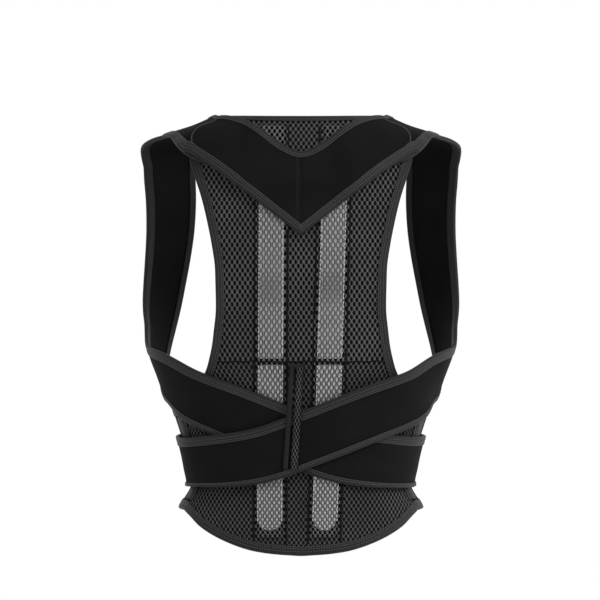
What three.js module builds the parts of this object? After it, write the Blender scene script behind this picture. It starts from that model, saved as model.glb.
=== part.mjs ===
// A back brace that corrects posture, in the shape it has when worn: a net back panel with four flat
// stays in pockets, a V-shaped yoke, two shoulder straps that pass over the shoulders, under the arms,
// cross behind the waist under a keeper and end on a belt that closes in front.
// Millimetres, +Z up. The wearer's back faces -Y and the wearer's right is +X. Z is 0 at the shoulders.
import * as THREE from "three";

// The body that the brace is shaped to
const BRACE_HEIGHT = 492; // shoulders to the lowest point of the hem
const HALF_BREADTH = 190; // widest half-breadth, just under the shoulders
const BACK_DEPTH = 112; // shoulder line to the rearmost point of the back
const FRONT_DEPTH = 120; // shoulder line to the foremost point of the chest
const SQUARENESS = 2.4; // 2 is an ellipse, more is squarer

// Cloth and hardware
const PANEL_THICK = 3;
const BELT_THICK = 3;
const BELT_END_TURN = 196; // degrees from the back centre to a belt's front end, past the front centre
const JOINT_TURN = 74; // degrees from the back centre to where the net ends and the belt starts
const LAP_RISE = [14, 5]; // degrees before the lap where the upper belt half starts and ends its rise
const YOKE_RISE = [18, 34]; // degrees from the back centre where the yoke rises over the straps
const SEAM_DOWN = 0.558; // height of the seam across the panel, as a share of the brace's height
const STRAP_THICK = 2.4;
const STRAP_WIDTH = 62;
const YOKE_THICK = 2.4;
const TAPE_THICK = 0.7; // wall of the binding tape
const TAPE_WIDTH = 9.5;
const STAY_WIDTH = 27.5;
const STAY_THICK = 1.2;
const STAY_TIP_GAP = 3.5; // from a stay's end to its pocket's end at the seam
const STAY_CORNER = 2.5; // radius of its corners at that end
const POCKET_THICK = 0.8;
const POCKET_SEAM = 3; // flat seam on each side of a pocket
const CHANNEL_WIDTH = 22; // upright strip that covers the joint of net and belt
const CHANNEL_THICK = 1;
const KEEPER_WIDTH = 17;
const KEEPER_THICK = 3;

// Clearances
const EDGE_GAP = 0.3; // between an edge and the tape folded round it, and at butted edges
const LAYER_GAP = 0.5; // between one curved layer and the next

// Spacing of the sections
const STRAP_STEP = 30;
const STRAP_SAMPLES = 20; // finer places between two rows of a strap's table, to space its sections by
const PANEL_COLUMNS = 20;
const BELT_STEP = 7.5; // degrees

// Heights of the layers above the body: each one clears what lies below it
const TAPE_STAND = TAPE_THICK + EDGE_GAP;
const STAY_LEVEL = PANEL_THICK + EDGE_GAP;
const POCKET_LEVEL = STAY_LEVEL + STAY_THICK + LAYER_GAP;
const CHANNEL_LEVEL = Math.max(PANEL_THICK, BELT_THICK) + LAYER_GAP;
const LEVEL = { skin: TAPE_STAND };
LEVEL.panel =
  Math.max(CHANNEL_LEVEL + CHANNEL_THICK, PANEL_THICK + TAPE_STAND) + LAYER_GAP + TAPE_STAND;
LEVEL.under = Math.max(LEVEL.panel, POCKET_LEVEL + POCKET_THICK + 1.5 * LAYER_GAP + TAPE_STAND);
LEVEL.over = LEVEL.under + STRAP_THICK + TAPE_STAND + 1.5 * LAYER_GAP + TAPE_STAND;
LEVEL.keeper = LEVEL.over + STRAP_THICK + TAPE_STAND + LAYER_GAP;
LEVEL.yoke_end = LEVEL.panel + STRAP_THICK + TAPE_STAND + 2 * LAYER_GAP + TAPE_STAND;
LEVEL.yoke_mid = LEVEL.under;
LEVEL.belt_over = BELT_THICK + TAPE_STAND + LAYER_GAP + TAPE_STAND;

// The body's sections from the neck down, as shares of the sizes above
const BODY = [
  { down: -0.033, breadth: 0.316, back: 0.43, front: 0.13 },
  { down: -0.012, breadth: 0.41, back: 0.5, front: 0.23 },
  { down: 0.008, breadth: 0.505, back: 0.563, front: 0.32 },
  { down: 0.033, breadth: 0.663, back: 0.634, front: 0.39 },
  { down: 0.057, breadth: 0.884, back: 0.696, front: 0.467 },
  { down: 0.081, breadth: 0.979, back: 0.75, front: 0.533 },
  { down: 0.154, breadth: 1, back: 0.875, front: 0.717 },
  { down: 0.366, breadth: 0.979, back: 1, front: 1 },
  { down: 0.533, breadth: 0.868, back: 0.946, front: 1 },
  { down: 0.6, breadth: 0.805, back: 0.906, front: 0.973 },
  { down: 0.669, breadth: 0.747, back: 0.866, front: 0.942 },
  { down: 0.744, breadth: 0.685, back: 0.83, front: 0.917 },
  { down: 0.8, breadth: 0.652, back: 0.81, front: 0.892 },
  { down: 0.845, breadth: 0.637, back: 0.804, front: 0.89 },
  { down: 0.9, breadth: 0.715, back: 0.822, front: 0.908 },
  { down: 1.03, breadth: 0.82, back: 0.94, front: 0.983 },
];

// The panel's right outline: the neck edge, then the armhole down to the wing with half-widths as shares
// of the half-breadth, then the wing's top edge out to the belt, and the hem from the middle to the belt
const NECK_DOWN = 0.003;
const ARMHOLE = [
  { down: 0.019, half: 0.45 },
  { down: 0.036, half: 0.55 },
  { down: 0.064, half: 0.62 },
  { down: 0.098, half: 0.65 },
  { down: 0.12, half: 0.634 },
  { down: 0.142, half: 0.616 },
  { down: 0.19, half: 0.577 },
  { down: 0.24, half: 0.546 },
  { down: 0.295, half: 0.518 },
  { down: 0.35, half: 0.499 },
  { down: 0.435, half: 0.494 },
  { down: 0.495, half: 0.508 },
  { down: 0.53, half: 0.52 },
  { down: 0.558, half: 0.536 },
  { down: 0.58, half: 0.553 },
  { down: 0.6, half: 0.58 },
  { down: 0.622, half: 0.622 },
];
const WING = [
  { turn: 64, down: 0.642 },
  { turn: 69, down: 0.656 },
  { turn: JOINT_TURN, down: 0.664 },
];
const HEM = [
  { turn: 0, down: 1 },
  { turn: 17, down: 0.996 },
  { turn: 31, down: 0.987 },
  { turn: 43, down: 0.97 },
  { turn: 53, down: 0.95 },
  { turn: 61, down: 0.93 },
  { turn: 68, down: 0.91 },
  { turn: JOINT_TURN, down: 0.899 },
];
// The rows from the wing's top tape to the hem's, closest where the waist is narrowest
const LOWER_ROWS = [0, 0.11, 0.22, 0.33, 0.44, 0.54, 0.64, 0.72, 0.79, 0.85, 0.9, 0.95, 1];
const BELT_TOP = 0.666;
const BELT_BOTTOM = 0.896;

// The right shoulder strap's centre line, from under the yoke to its end on the front of the belt
const STRAP = [
  { turn: 47, down: 0.068, level: "panel" },
  { turn: 57, down: 0.055, level: "panel" },
  { turn: 72, down: 0.036, level: "panel" },
  { turn: 90, down: 0.037, level: "skin" },
  { turn: 104, down: 0.07, level: "skin" },
  { turn: 112, down: 0.15, level: "skin" },
  { turn: 117, down: 0.28, level: "skin" },
  { turn: 115, down: 0.4, level: "skin" },
  { turn: 105, down: 0.5, level: "skin" },
  { turn: 91, down: 0.57, level: "panel" },
  { turn: 74, down: 0.595, level: "panel" },
  { turn: 57, down: 0.641, level: "cross" },
  { turn: 26, down: 0.7, level: "cross" },
  { turn: 0, down: 0.738, level: "cross" },
  { turn: -30, down: 0.774, level: "cross" },
  { turn: -63, down: 0.79, level: "cross" },
  { turn: -90, down: 0.788, level: "panel" },
  { turn: -118, down: 0.785, level: "panel" },
  { turn: -140, down: 0.785, level: "panel" },
];

// The yoke's right half, from the centre seam out. Sideways and down are shares of the half-breadth and
// height, bulge is how far the row curves outwards as a share of the strap's width.
const YOKE = [
  { low_x: 0, low: 0.272, top_x: 0, top: 0.09, bulge: 0 },
  { low_x: 0.085, low: 0.246, top_x: 0.05, top: 0.085, bulge: 0 },
  { low_x: 0.19, low: 0.214, top_x: 0.13, top: 0.068, bulge: 0 },
  { low_x: 0.3, low: 0.181, top_x: 0.215, top: 0.047, bulge: 0 },
  { low_x: 0.41, low: 0.15, top_x: 0.305, top: 0.0285, bulge: 0 },
  { low_x: 0.51, low: 0.123, top_x: 0.38, top: 0.021, bulge: 0 },
  { low_x: 0.59, low: 0.102, top_x: 0.435, top: 0.02, bulge: 0.05 },
  { low_x: 0.64, low: 0.09, top_x: 0.475, top: 0.023, bulge: 0.13 },
];

// Each stay's centre line: sideways place at its pocket's top and bottom, as shares of the half-breadth
const STAYS = [
  { side: "left", top_x: -0.172, bottom_x: -0.182 },
  { side: "right", top_x: 0.2, bottom_x: 0.137 },
];
const POCKET_TOP = 0.025;
const STAY_TOP = 0.114;
const STAY_BOTTOM = 0.945;
const POCKET_BOTTOM = 0.963;

// The keeper's line from its upper stitching to its lower one
const KEEPER_TOP = 0.566;
const KEEPER_BOTTOM = 0.842;
const KEEPER_TOP_X = -0.024;
const KEEPER_BOTTOM_X = -0.061;

const radians = THREE.MathUtils.degToRad;
const heightOf = (down) => -down * BRACE_HEIGHT;

// A smooth value from a table's column at a place on its key column.
function along(table, column, at, key = "down") {
  let k = 0;
  while (k < table.length - 2 && table[k + 1][key] < at) k++;
  const slope = (i) => {
    const a = table[Math.max(i - 1, 0)];
    const b = table[Math.min(i + 1, table.length - 1)];
    return (b[column] - a[column]) / (b[key] - a[key]);
  };
  const span = table[k + 1][key] - table[k][key];
  const t = THREE.MathUtils.clamp((at - table[k][key]) / span, 0, 1);
  const [t2, t3] = [t * t, t * t * t];
  return (
    (2 * t3 - 3 * t2 + 1) * table[k][column] +
    (t3 - 2 * t2 + t) * span * slope(k) +
    (3 * t2 - 2 * t3) * table[k + 1][column] +
    (t3 - t2) * span * slope(k + 1)
  );
}

// The half-breadth and the depth of the body at a height, behind or in front of the shoulder line.
function section(z, behind) {
  const down = -z / BRACE_HEIGHT;
  const depth = behind
    ? BACK_DEPTH * along(BODY, "back", down)
    : FRONT_DEPTH * along(BODY, "front", down);
  return { half: HALF_BREADTH * along(BODY, "breadth", down), depth };
}

// The point of the body's skin at a turn from the back centre, in radians, and a height.
function skin(turn, z) {
  const [s, c] = [Math.sin(turn), Math.cos(turn)];
  const { half, depth } = section(z, c > 0);
  const sum = Math.abs(s / half) ** SQUARENESS + Math.abs(c / depth) ** SQUARENESS;
  const r = sum ** (-1 / SQUARENESS);
  return new THREE.Vector3(r * s, -r * c, z);
}

// How the skin's point moves with the turn and with the height, and the direction straight out.
function slopes(turn, z) {
  const [dt, dz] = [0.002, 0.5];
  const byTurn = skin(turn + dt, z)
    .sub(skin(turn - dt, z))
    .divideScalar(2 * dt);
  const byHeight = skin(turn, z + dz)
    .sub(skin(turn, z - dz))
    .divideScalar(2 * dz);
  const out = byTurn.clone().cross(byHeight).normalize();
  return { byTurn, byHeight, out };
}

// A point that stands off the skin by a height measured straight out.
function offSkin(turn, z, stand) {
  return skin(turn, z).addScaledVector(slopes(turn, z).out, stand);
}

// The turn at which the body's back is x to the side at a height.
function turnAt(x, z) {
  const { half, depth } = section(z, true);
  const share = Math.min(Math.abs(x) / half, 0.9995);
  const y = depth * (1 - share ** SQUARENESS) ** (1 / SQUARENESS);
  return Math.sign(x) * Math.atan2(share * half, y);
}

// Walks over the skin from a place in a direction, and returns the place reached.
function walk(place, direction, distance) {
  const steps = Math.max(1, Math.ceil(Math.abs(distance) / 8));
  let { turn, z } = place;
  const heading = direction.clone();
  for (let i = 0; i < steps; i++) {
    const { byTurn, byHeight, out } = slopes(turn, z);
    heading.addScaledVector(out, -heading.dot(out)).normalize();
    const move = heading.clone().multiplyScalar(distance / steps);
    const [a, b, c] = [byTurn.dot(byTurn), byTurn.dot(byHeight), byHeight.dot(byHeight)];
    const [p, q] = [byTurn.dot(move), byHeight.dot(move)];
    const det = a * c - b * b;
    turn += (c * p - b * q) / det;
    z += (a * q - b * p) / det;
  }
  return { turn, z };
}

// Gives each place of a line over the body its direction across the line, to the left as it runs.
function framed(line) {
  const points = line.map((p) => skin(p.turn, p.z));
  return line.map((place, i) => {
    const ahead = points[Math.min(i + 1, line.length - 1)].clone().sub(points[i]).normalize();
    const behind = points[i].clone().sub(points[Math.max(i - 1, 0)]).normalize();
    const run = ahead.clone().add(behind).normalize();
    const across = slopes(place.turn, place.z).out.cross(run).normalize();
    const mitre = 1 / Math.max(0.5, run.dot(i ? behind : ahead));
    return { ...place, across, mitre };
  });
}

// The point beside a framed place, so far to its left and standing so high off the skin.
function beside(place, left, stand) {
  const reached = walk(place, place.across, left * place.mitre);
  return offSkin(reached.turn, reached.z, stand);
}

// A mesh from points and triangles, turned to face out if it doesn't.
function solid(name, points, triangles, material) {
  let volume = 0;
  for (const [a, b, c] of triangles)
    volume += points[a].dot(points[b].clone().cross(points[c]));
  const order = volume < 0 ? triangles.map(([a, b, c]) => [a, c, b]) : triangles;
  const geometry = new THREE.BufferGeometry();
  geometry.setFromPoints(points);
  geometry.setIndex(order.flat());
  geometry.computeVertexNormals();
  const mesh = new THREE.Mesh(geometry, material);
  mesh.name = name;
  return mesh;
}

// The two triangles of a four-sided face, parted along the diagonal that lies further from the body, so
// that layers which follow one another bend along the same lines.
function parted(points, a, b, c, d) {
  const [p, q, r, t] = [a, b, c, d].map((i) => points[i]);
  const one = p.clone().add(r);
  const two = q.clone().add(t);
  const face = r.clone().sub(p).cross(t.clone().sub(q));
  const outward = one.clone().add(two).divideScalar(4);
  outward.z -= Math.min(outward.z, -BRACE_HEIGHT / 3);
  const further = one.sub(two).dot(face) * outward.dot(face);
  return further > 0 ? [[a, b, c], [a, c, d]] : [[a, b, d], [b, c, d]];
}

// A wall between two grids of points of the same size.
function wall(name, inner, outer, material) {
  const [rows, columns] = [inner.length, inner[0].length];
  const points = [...inner.flat(), ...outer.flat()];
  const triangles = [];
  const at = (side, r, c) => (side * rows + r) * columns + c;
  const quad = (a, b, c, d) => triangles.push(...parted(points, a, b, c, d));
  for (let r = 0; r + 1 < rows; r++) {
    for (let c = 0; c + 1 < columns; c++) {
      quad(at(0, r, c), at(0, r + 1, c), at(0, r + 1, c + 1), at(0, r, c + 1));
      quad(at(1, r, c), at(1, r, c + 1), at(1, r + 1, c + 1), at(1, r + 1, c));
    }
    const last = columns - 1;
    quad(at(0, r, 0), at(1, r, 0), at(1, r + 1, 0), at(0, r + 1, 0));
    quad(at(0, r, last), at(0, r + 1, last), at(1, r + 1, last), at(1, r, last));
  }
  for (let c = 0; c + 1 < columns; c++) {
    const last = rows - 1;
    quad(at(0, 0, c), at(0, 0, c + 1), at(1, 0, c + 1), at(1, 0, c));
    quad(at(0, last, c), at(1, last, c), at(1, last, c + 1), at(0, last, c + 1));
  }
  return solid(name, points, triangles, material);
}

// A bar through loops of points, its ends closed by the loop's own faces, given as triangles.
function bar(name, loops, faces, material) {
  const n = loops[0].length;
  const points = loops.flat();
  const triangles = [];
  for (let k = 0; k + 1 < loops.length; k++)
    for (let i = 0; i < n; i++) {
      const [a, b] = [k * n + i, k * n + ((i + 1) % n)];
      triangles.push(...parted(points, a, b, b + n, a + n));
    }
  const end = (loops.length - 1) * n;
  for (const [a, b, c] of faces) {
    triangles.push([a, c, b]);
    triangles.push([end + a, end + b, end + c]);
  }
  return solid(name, points, triangles, material);
}

// The faces of a closed loop of eight points that is a channel's section
const CHANNEL_FACES = [
  [0, 1, 6],
  [0, 6, 7],
  [1, 2, 5],
  [1, 5, 6],
  [2, 3, 4],
  [2, 4, 5],
];

// Tape folded round an edge. The line runs along the edge, inwards says to which side of it the cloth
// lies (1 is left), edge is how far beside the line the edge is, and each place has its stand.
function binding(name, line, inwards, edge, thick, material) {
  const loops = line.map((place) => {
    const at = (inset, stand) => beside(place, edge + inwards * inset, place.stand + stand);
    const top = thick + EDGE_GAP;
    return [
      at(TAPE_WIDTH, top + TAPE_THICK),
      at(-TAPE_STAND, top + TAPE_THICK),
      at(-TAPE_STAND, -TAPE_STAND),
      at(TAPE_WIDTH, -TAPE_STAND),
      at(TAPE_WIDTH, -EDGE_GAP),
      at(-EDGE_GAP, -EDGE_GAP),
      at(-EDGE_GAP, top),
      at(TAPE_WIDTH, top),
    ];
  });
  return bar(name, loops, CHANNEL_FACES, material);
}

// A wall over the body: each row is a list of places, and stand is how high its inner face stands.
function cloth(name, rows, thick, material) {
  const grid = (extra) => rows.map((row) => row.map((p) => offSkin(p.turn, p.z, p.stand + extra)));
  return wall(name, grid(0), grid(thick), material);
}

// Materials
const finish = (color, roughness, metalness = 0) =>
  new THREE.MeshStandardMaterial({ color, roughness, metalness });
const net = finish(0x3c3c3e, 0.9);
const neoprene = finish(0x1c1c1d, 0.85);
const tape = finish(0x303033, 0.8);
const stayMetal = finish(0xa6a6a6, 0.45, 0.6);

// Panel and belt

const rampUp = (turn, start, end) =>
  THREE.MathUtils.smoothstep(Math.abs(turn), radians(start), radians(end));
const mirrored = (places) => places.map((p) => ({ ...p, turn: -p.turn })).reverse();
const mix = (a, b, s) => ({
  turn: a.turn + (b.turn - a.turn) * s,
  z: a.z + (b.z - a.z) * s,
  stand: a.stand + (b.stand - a.stand) * s,
});
const spread = (a, b, count) =>
  Array.from({ length: count }, (_, i) => mix(a, b, i / (count - 1)));

// The place beside a framed place, at the same stand.
const inset = (place, left) => ({ ...walk(place, place.across, left * place.mitre), stand: place.stand });

// How high a belt half stands: the right one passes over the left one in front.
function beltStand(side, turn) {
  const lap = 360 - BELT_END_TURN;
  return side > 0 ? LEVEL.belt_over * rampUp(turn, ...LAP_RISE.map((before) => lap - before)) : 0;
}

// The edge of a belt half from the joint to its front end.
function beltEdge(side, fromDown, down) {
  const start = radians(JOINT_TURN) + EDGE_GAP / HALF_BREADTH;
  const count = Math.round((BELT_END_TURN - JOINT_TURN) / BELT_STEP);
  return Array.from({ length: count + 1 }, (_, i) => {
    const turn = start + ((radians(BELT_END_TURN) - start) * i) / count;
    const share = Math.min(1, i / 2);
    const z = heightOf(fromDown + (down - fromDown) * share);
    return { turn: side * turn, z, stand: beltStand(side, turn) };
  });
}

// The top edge on one side, from the neck corner along the armhole, the wing and the belt
function topEdge(side) {
  const armhole = ARMHOLE.map(({ half, down }) => ({
    turn: side * turnAt(half * HALF_BREADTH, heightOf(down)),
    z: heightOf(down),
    stand: 0,
  }));
  const wing = WING.map(({ turn, down }) => ({
    turn: side * radians(turn),
    z: heightOf(down),
    stand: 0,
  }));
  return framed([...armhole, ...wing, ...beltEdge(side, WING[WING.length - 1].down, BELT_TOP)]);
}

// The hem from the left belt's end to the right belt's end
const hemDown = HEM[HEM.length - 1].down;
const hemHalf = Array.from({ length: PANEL_COLUMNS / 2 }, (_, i) => {
  const turn = (JOINT_TURN * (i + 1)) / (PANEL_COLUMNS / 2);
  return { turn: radians(turn), z: heightOf(along(HEM, "down", turn, "turn")), stand: 0 };
});
const hemMiddle = { turn: 0, z: heightOf(HEM[0].down), stand: 0 };
const hem = framed([
  ...beltEdge(-1, hemDown, BELT_BOTTOM).reverse(),
  ...mirrored(hemHalf),
  hemMiddle,
  ...hemHalf,
  ...beltEdge(1, hemDown, BELT_BOTTOM),
]);
const beltStations = Math.round((BELT_END_TURN - JOINT_TURN) / BELT_STEP) + 1;
const panelHem = hem.slice(beltStations, -beltStations);
const tops = { left: topEdge(-1), right: topEdge(1) };
const panelStations = ARMHOLE.length + WING.length;

// The neck's edge, whose columns go on into the panel
const neckZ = heightOf(NECK_DOWN);
const neckTurn = turnAt(ARMHOLE[0].half * HALF_BREADTH - TAPE_WIDTH - EDGE_GAP, neckZ);
const neck = framed(
  spread({ turn: -neckTurn, z: neckZ, stand: 0 }, { turn: neckTurn, z: neckZ, stand: 0 }, PANEL_COLUMNS - 1),
);

function panelPlaces() {
  const insetTop = (side, k) => inset(tops[side][k], side === "left" ? TAPE_WIDTH : -TAPE_WIDTH);
  const corner = (side, end) => mix(end, tops[side][0], 0.4);
  const rows = [
    [corner("left", neck[0]), ...neck, corner("right", neck[neck.length - 1])],
    [tops.left[0], ...neck.map((p) => inset(p, -TAPE_WIDTH)), tops.right[0]],
  ];
  for (let k = 1; k < panelStations - 1; k++)
    rows.push([
      tops.left[k],
      ...spread(insetTop("left", k), insetTop("right", k), PANEL_COLUMNS - 1),
      tops.right[k],
    ]);
  const joint = panelStations - 1;
  const hemInner = panelHem.map((p) => inset(p, TAPE_WIDTH));
  const [left, right] = [insetTop("left", joint), insetTop("right", joint)];
  const between = (rise, share) => {
    const [a, b] = [left, right].map((p) => ({ ...p, turn: p.turn * share, z: p.z + rise }));
    return spread(a, b, PANEL_COLUMNS - 1);
  };
  rows.push([tops.left[joint], ...between(TAPE_WIDTH / 5, 0.93), tops.right[joint]]);
  const level = [left, ...between(0, 0.94), right];
  for (const s of LOWER_ROWS) rows.push(level.map((p, c) => mix(p, hemInner[c], s)));
  rows.push(panelHem);
  return rows;
}

const panelRows = panelPlaces();
const rowHeights = panelRows.map((row) => row[PANEL_COLUMNS / 2].z);

function belt(side) {
  const top = (side > 0 ? tops.right : tops.left).slice(panelStations);
  const bottom = side > 0 ? hem.slice(-beltStations) : hem.slice(0, beltStations).reverse();
  const rows = top.map((place, i) => {
    const topInner = inset(place, -side * TAPE_WIDTH);
    const bottomInner = inset(bottom[i], TAPE_WIDTH);
    return [place, ...LOWER_ROWS.map((s) => mix(topInner, bottomInner, s)), bottom[i]];
  });
  return cloth(side > 0 ? "belt_right" : "belt_left", rows, BELT_THICK, neoprene);
}

// The upright strip over the joint of net and belt.
function channel(side) {
  const top = (side > 0 ? tops.right : tops.left)[panelStations - 1];
  const bottom = side > 0 ? panelHem[panelHem.length - 1] : panelHem[0];
  const clear = TAPE_WIDTH + 2 * EDGE_GAP;
  const ends = [inset(top, -side * clear), inset(bottom, clear)];
  const rows = LOWER_ROWS.map((s) => {
    const middle = mix(...ends, s);
    const reach = CHANNEL_WIDTH / 2 / skin(middle.turn, middle.z).length();
    return [-1, -0.5, 0, 0.5, 1].map((c) => ({
      turn: middle.turn + side * c * reach,
      z: middle.z,
      stand: CHANNEL_LEVEL,
    }));
  });
  return cloth(side > 0 ? "channel_right" : "channel_left", rows, CHANNEL_THICK, tape);
}

// Stays and their pockets

function stayX(stay, down) {
  const share = (down - STAY_TOP) / (STAY_BOTTOM - STAY_TOP);
  return HALF_BREADTH * (stay.top_x + (stay.bottom_x - stay.top_x) * share);
}

// The panel's rows between two heights.
const rowsWithin = (from, to) => rowHeights.filter((z) => z < from - EDGE_GAP && z > to + EDGE_GAP);

function pocket(stay, part, from, to) {
  const flat = STAY_WIDTH / 2 + EDGE_GAP;
  const ramp = flat + POCKET_LEVEL - STAY_LEVEL;
  const columns = [
    { x: -ramp - POCKET_SEAM, stand: STAY_LEVEL },
    { x: -ramp, stand: STAY_LEVEL },
    { x: -flat, stand: POCKET_LEVEL },
    { x: 0, stand: POCKET_LEVEL },
    { x: flat, stand: POCKET_LEVEL },
    { x: ramp, stand: STAY_LEVEL },
    { x: ramp + POCKET_SEAM, stand: STAY_LEVEL },
  ];
  const [top, bottom] = [heightOf(from), heightOf(to)];
  const rows = [top, ...rowsWithin(top, bottom), bottom].map((z) => {
    const down = -z / BRACE_HEIGHT;
    return columns.map(({ x, stand }) => ({ turn: turnAt(stayX(stay, down) + x, z), z, stand }));
  });
  return cloth(`${part}_pocket_${stay.side}`, rows, POCKET_THICK, net);
}

// A flat bar, with its corners rounded by one radius at the top and one at the bottom.
function stayBar(stay, part, from, to, topRound, bottomRound) {
  const ends = [0.03, 0.15, 0.4, 1];
  const [top, bottom] = [heightOf(from), heightOf(to)];
  const heights = [
    ...ends.map((s) => top - s * topRound),
    ...rowsWithin(top - topRound, bottom + bottomRound),
    ...ends.map((s) => bottom + s * bottomRound).reverse(),
  ];
  const trimmed = (fromTip, round) => {
    const off = Math.max(0, round - fromTip);
    return round - Math.sqrt(round ** 2 - off ** 2);
  };
  const rows = heights.map((z) => {
    const half = STAY_WIDTH / 2 - trimmed(top - z, topRound) - trimmed(z - bottom, bottomRound);
    const middle = stayX(stay, -z / BRACE_HEIGHT);
    return [-1, 0, 1].map((c) => ({ turn: turnAt(middle + c * half, z), z, stand: STAY_LEVEL }));
  });
  return cloth(`${part}_stay_${stay.side}`, rows, STAY_THICK, stayMetal);
}

// Yoke: one V-shaped piece with a mitred seam in the middle

const yokeStand = (turn) =>
  LEVEL.yoke_mid + (LEVEL.yoke_end - LEVEL.yoke_mid) * rampUp(turn, ...YOKE_RISE);

function yokeLine(xKey, downKey) {
  const half = (side) =>
    YOKE.map((row) => {
      const z = heightOf(row[downKey]);
      const turn = turnAt(side * row[xKey] * HALF_BREADTH, z);
      return { turn, z, stand: yokeStand(turn) };
    });
  return framed([...half(-1).reverse(), ...half(1).slice(1)]);
}

const yokeLow = yokeLine("low_x", "low");
const yokeTop = yokeLine("top_x", "top");

function yoke() {
  const middle = YOKE.length - 1;
  const rows = yokeLow.map((low, i) => {
    const top = yokeTop[i];
    const side = Math.sign(i - middle);
    const bulge = YOKE[Math.abs(i - middle)].bulge * STRAP_WIDTH;
    const run = skin(top.turn, top.z).sub(skin(low.turn, low.z));
    return [low, ...spread(inset(low, TAPE_WIDTH), inset(top, -TAPE_WIDTH), 5), top].map((place, c) => {
      const reach = side * bulge * Math.max(0, 1 - ((c - 3) / 2) ** 2);
      if (!reach) return place;
      const outward = run.clone().cross(slopes(place.turn, place.z).out);
      return { ...walk(place, outward, reach), stand: place.stand };
    });
  });
  return cloth("yoke", rows, YOKE_THICK, neoprene);
}

// Straps

// The strap's centre line, sampled every step along the body.
function strapLine(side) {
  const last = STRAP.length - 1;
  const levelOf = ({ level }) => LEVEL[level === "cross" ? (side > 0 ? "over" : "under") : level];
  const table = STRAP.map((row, i) => ({ ...row, i }));
  const placeAt = (u) => {
    const k = Math.min(Math.floor(u), last - 1);
    const rise = THREE.MathUtils.smoothstep(u - k, 0, 1);
    return {
      turn: side * radians(along(table, "turn", u, "i")),
      z: heightOf(along(table, "down", u, "i")),
      stand: levelOf(STRAP[k]) * (1 - rise) + levelOf(STRAP[k + 1]) * rise,
    };
  };
  const fine = Array.from({ length: last * STRAP_SAMPLES + 1 }, (_, i) => placeAt(i / STRAP_SAMPLES));
  const runs = [0];
  const at = fine.map(({ turn, z }) => ({ point: skin(turn, z), out: slopes(turn, z).out }));
  for (let i = 1; i < fine.length; i++) {
    const step = at[i].point.distanceTo(at[i - 1].point);
    runs.push(runs[i - 1] + step + (STRAP_WIDTH / 2) * at[i].out.distanceTo(at[i - 1].out));
  }
  const total = runs[runs.length - 1];
  const count = Math.round(total / STRAP_STEP);
  const stations = Array.from({ length: count + 1 }, (_, i) => {
    const run = (total * i) / count;
    return fine[Math.max(0, runs.findIndex((r) => r >= run - 1e-6))];
  });
  return framed(stations);
}

function strap(side) {
  const name = side > 0 ? "right" : "left";
  const line = strapLine(side);
  const half = STRAP_WIDTH / 2;
  const lefts = [half, half - TAPE_WIDTH, 0, TAPE_WIDTH - half, -half];
  const rows = line.map((place) =>
    lefts.map((left) => ({
      ...walk(place, place.across, left * place.mitre),
      stand: place.stand,
    })),
  );
  const outer = side > 0 ? 1 : -1;
  return [
    cloth(`strap_${name}`, rows, STRAP_THICK, neoprene),
    binding(`strap_upper_binding_${name}`, line, -outer, outer * half, STRAP_THICK, tape),
    binding(`strap_lower_binding_${name}`, line, outer, -outer * half, STRAP_THICK, tape),
  ];
}

// Keeper: a doubled band over the crossing, stitched down at both ends

// The section of two rounded strands side by side, and the faces that close it
const KEEPER_SECTION = [
  { across: -0.5, up: 0.3 },
  { across: -0.5, up: 0.6 },
  { across: -0.38, up: 1 },
  { across: -0.14, up: 1 },
  { across: 0, up: 0.45 },
  { across: 0.14, up: 1 },
  { across: 0.38, up: 1 },
  { across: 0.5, up: 0.6 },
  { across: 0.5, up: 0.3 },
  { across: 0.38, up: 0 },
  { across: -0.38, up: 0 },
];
const KEEPER_FACES = [
  [0, 1, 2],
  [0, 2, 10],
  [10, 2, 3],
  [10, 3, 4],
  [10, 4, 9],
  [9, 4, 5],
  [9, 5, 6],
  [9, 6, 8],
  [8, 6, 7],
];
const KEEPER_RISE = [
  { s: 0, rise: 0 },
  { s: 0.04, rise: 0.01 },
  { s: 0.1, rise: 0.12 },
  { s: 0.2, rise: 0.55 },
  { s: 0.29, rise: 0.93 },
  { s: 0.36, rise: 1 },
  { s: 0.55, rise: 1 },
  { s: 0.75, rise: 1 },
  { s: 0.95, rise: 1 },
  { s: 0.98, rise: 0.45 },
  { s: 1, rise: 0 },
];

function keeper() {
  const low = POCKET_LEVEL;
  const line = KEEPER_RISE.map(({ s, rise }) => {
    const z = heightOf(KEEPER_TOP + (KEEPER_BOTTOM - KEEPER_TOP) * s);
    const x = HALF_BREADTH * (KEEPER_TOP_X + (KEEPER_BOTTOM_X - KEEPER_TOP_X) * s);
    return { turn: turnAt(x, z), z, stand: low + (LEVEL.keeper - low) * rise };
  });
  const loops = framed(line).map((place) =>
    KEEPER_SECTION.map(({ across, up }) =>
      beside(place, across * KEEPER_WIDTH, place.stand + up * KEEPER_THICK),
    ),
  );
  return bar("keeper", loops, KEEPER_FACES, net);
}

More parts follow.
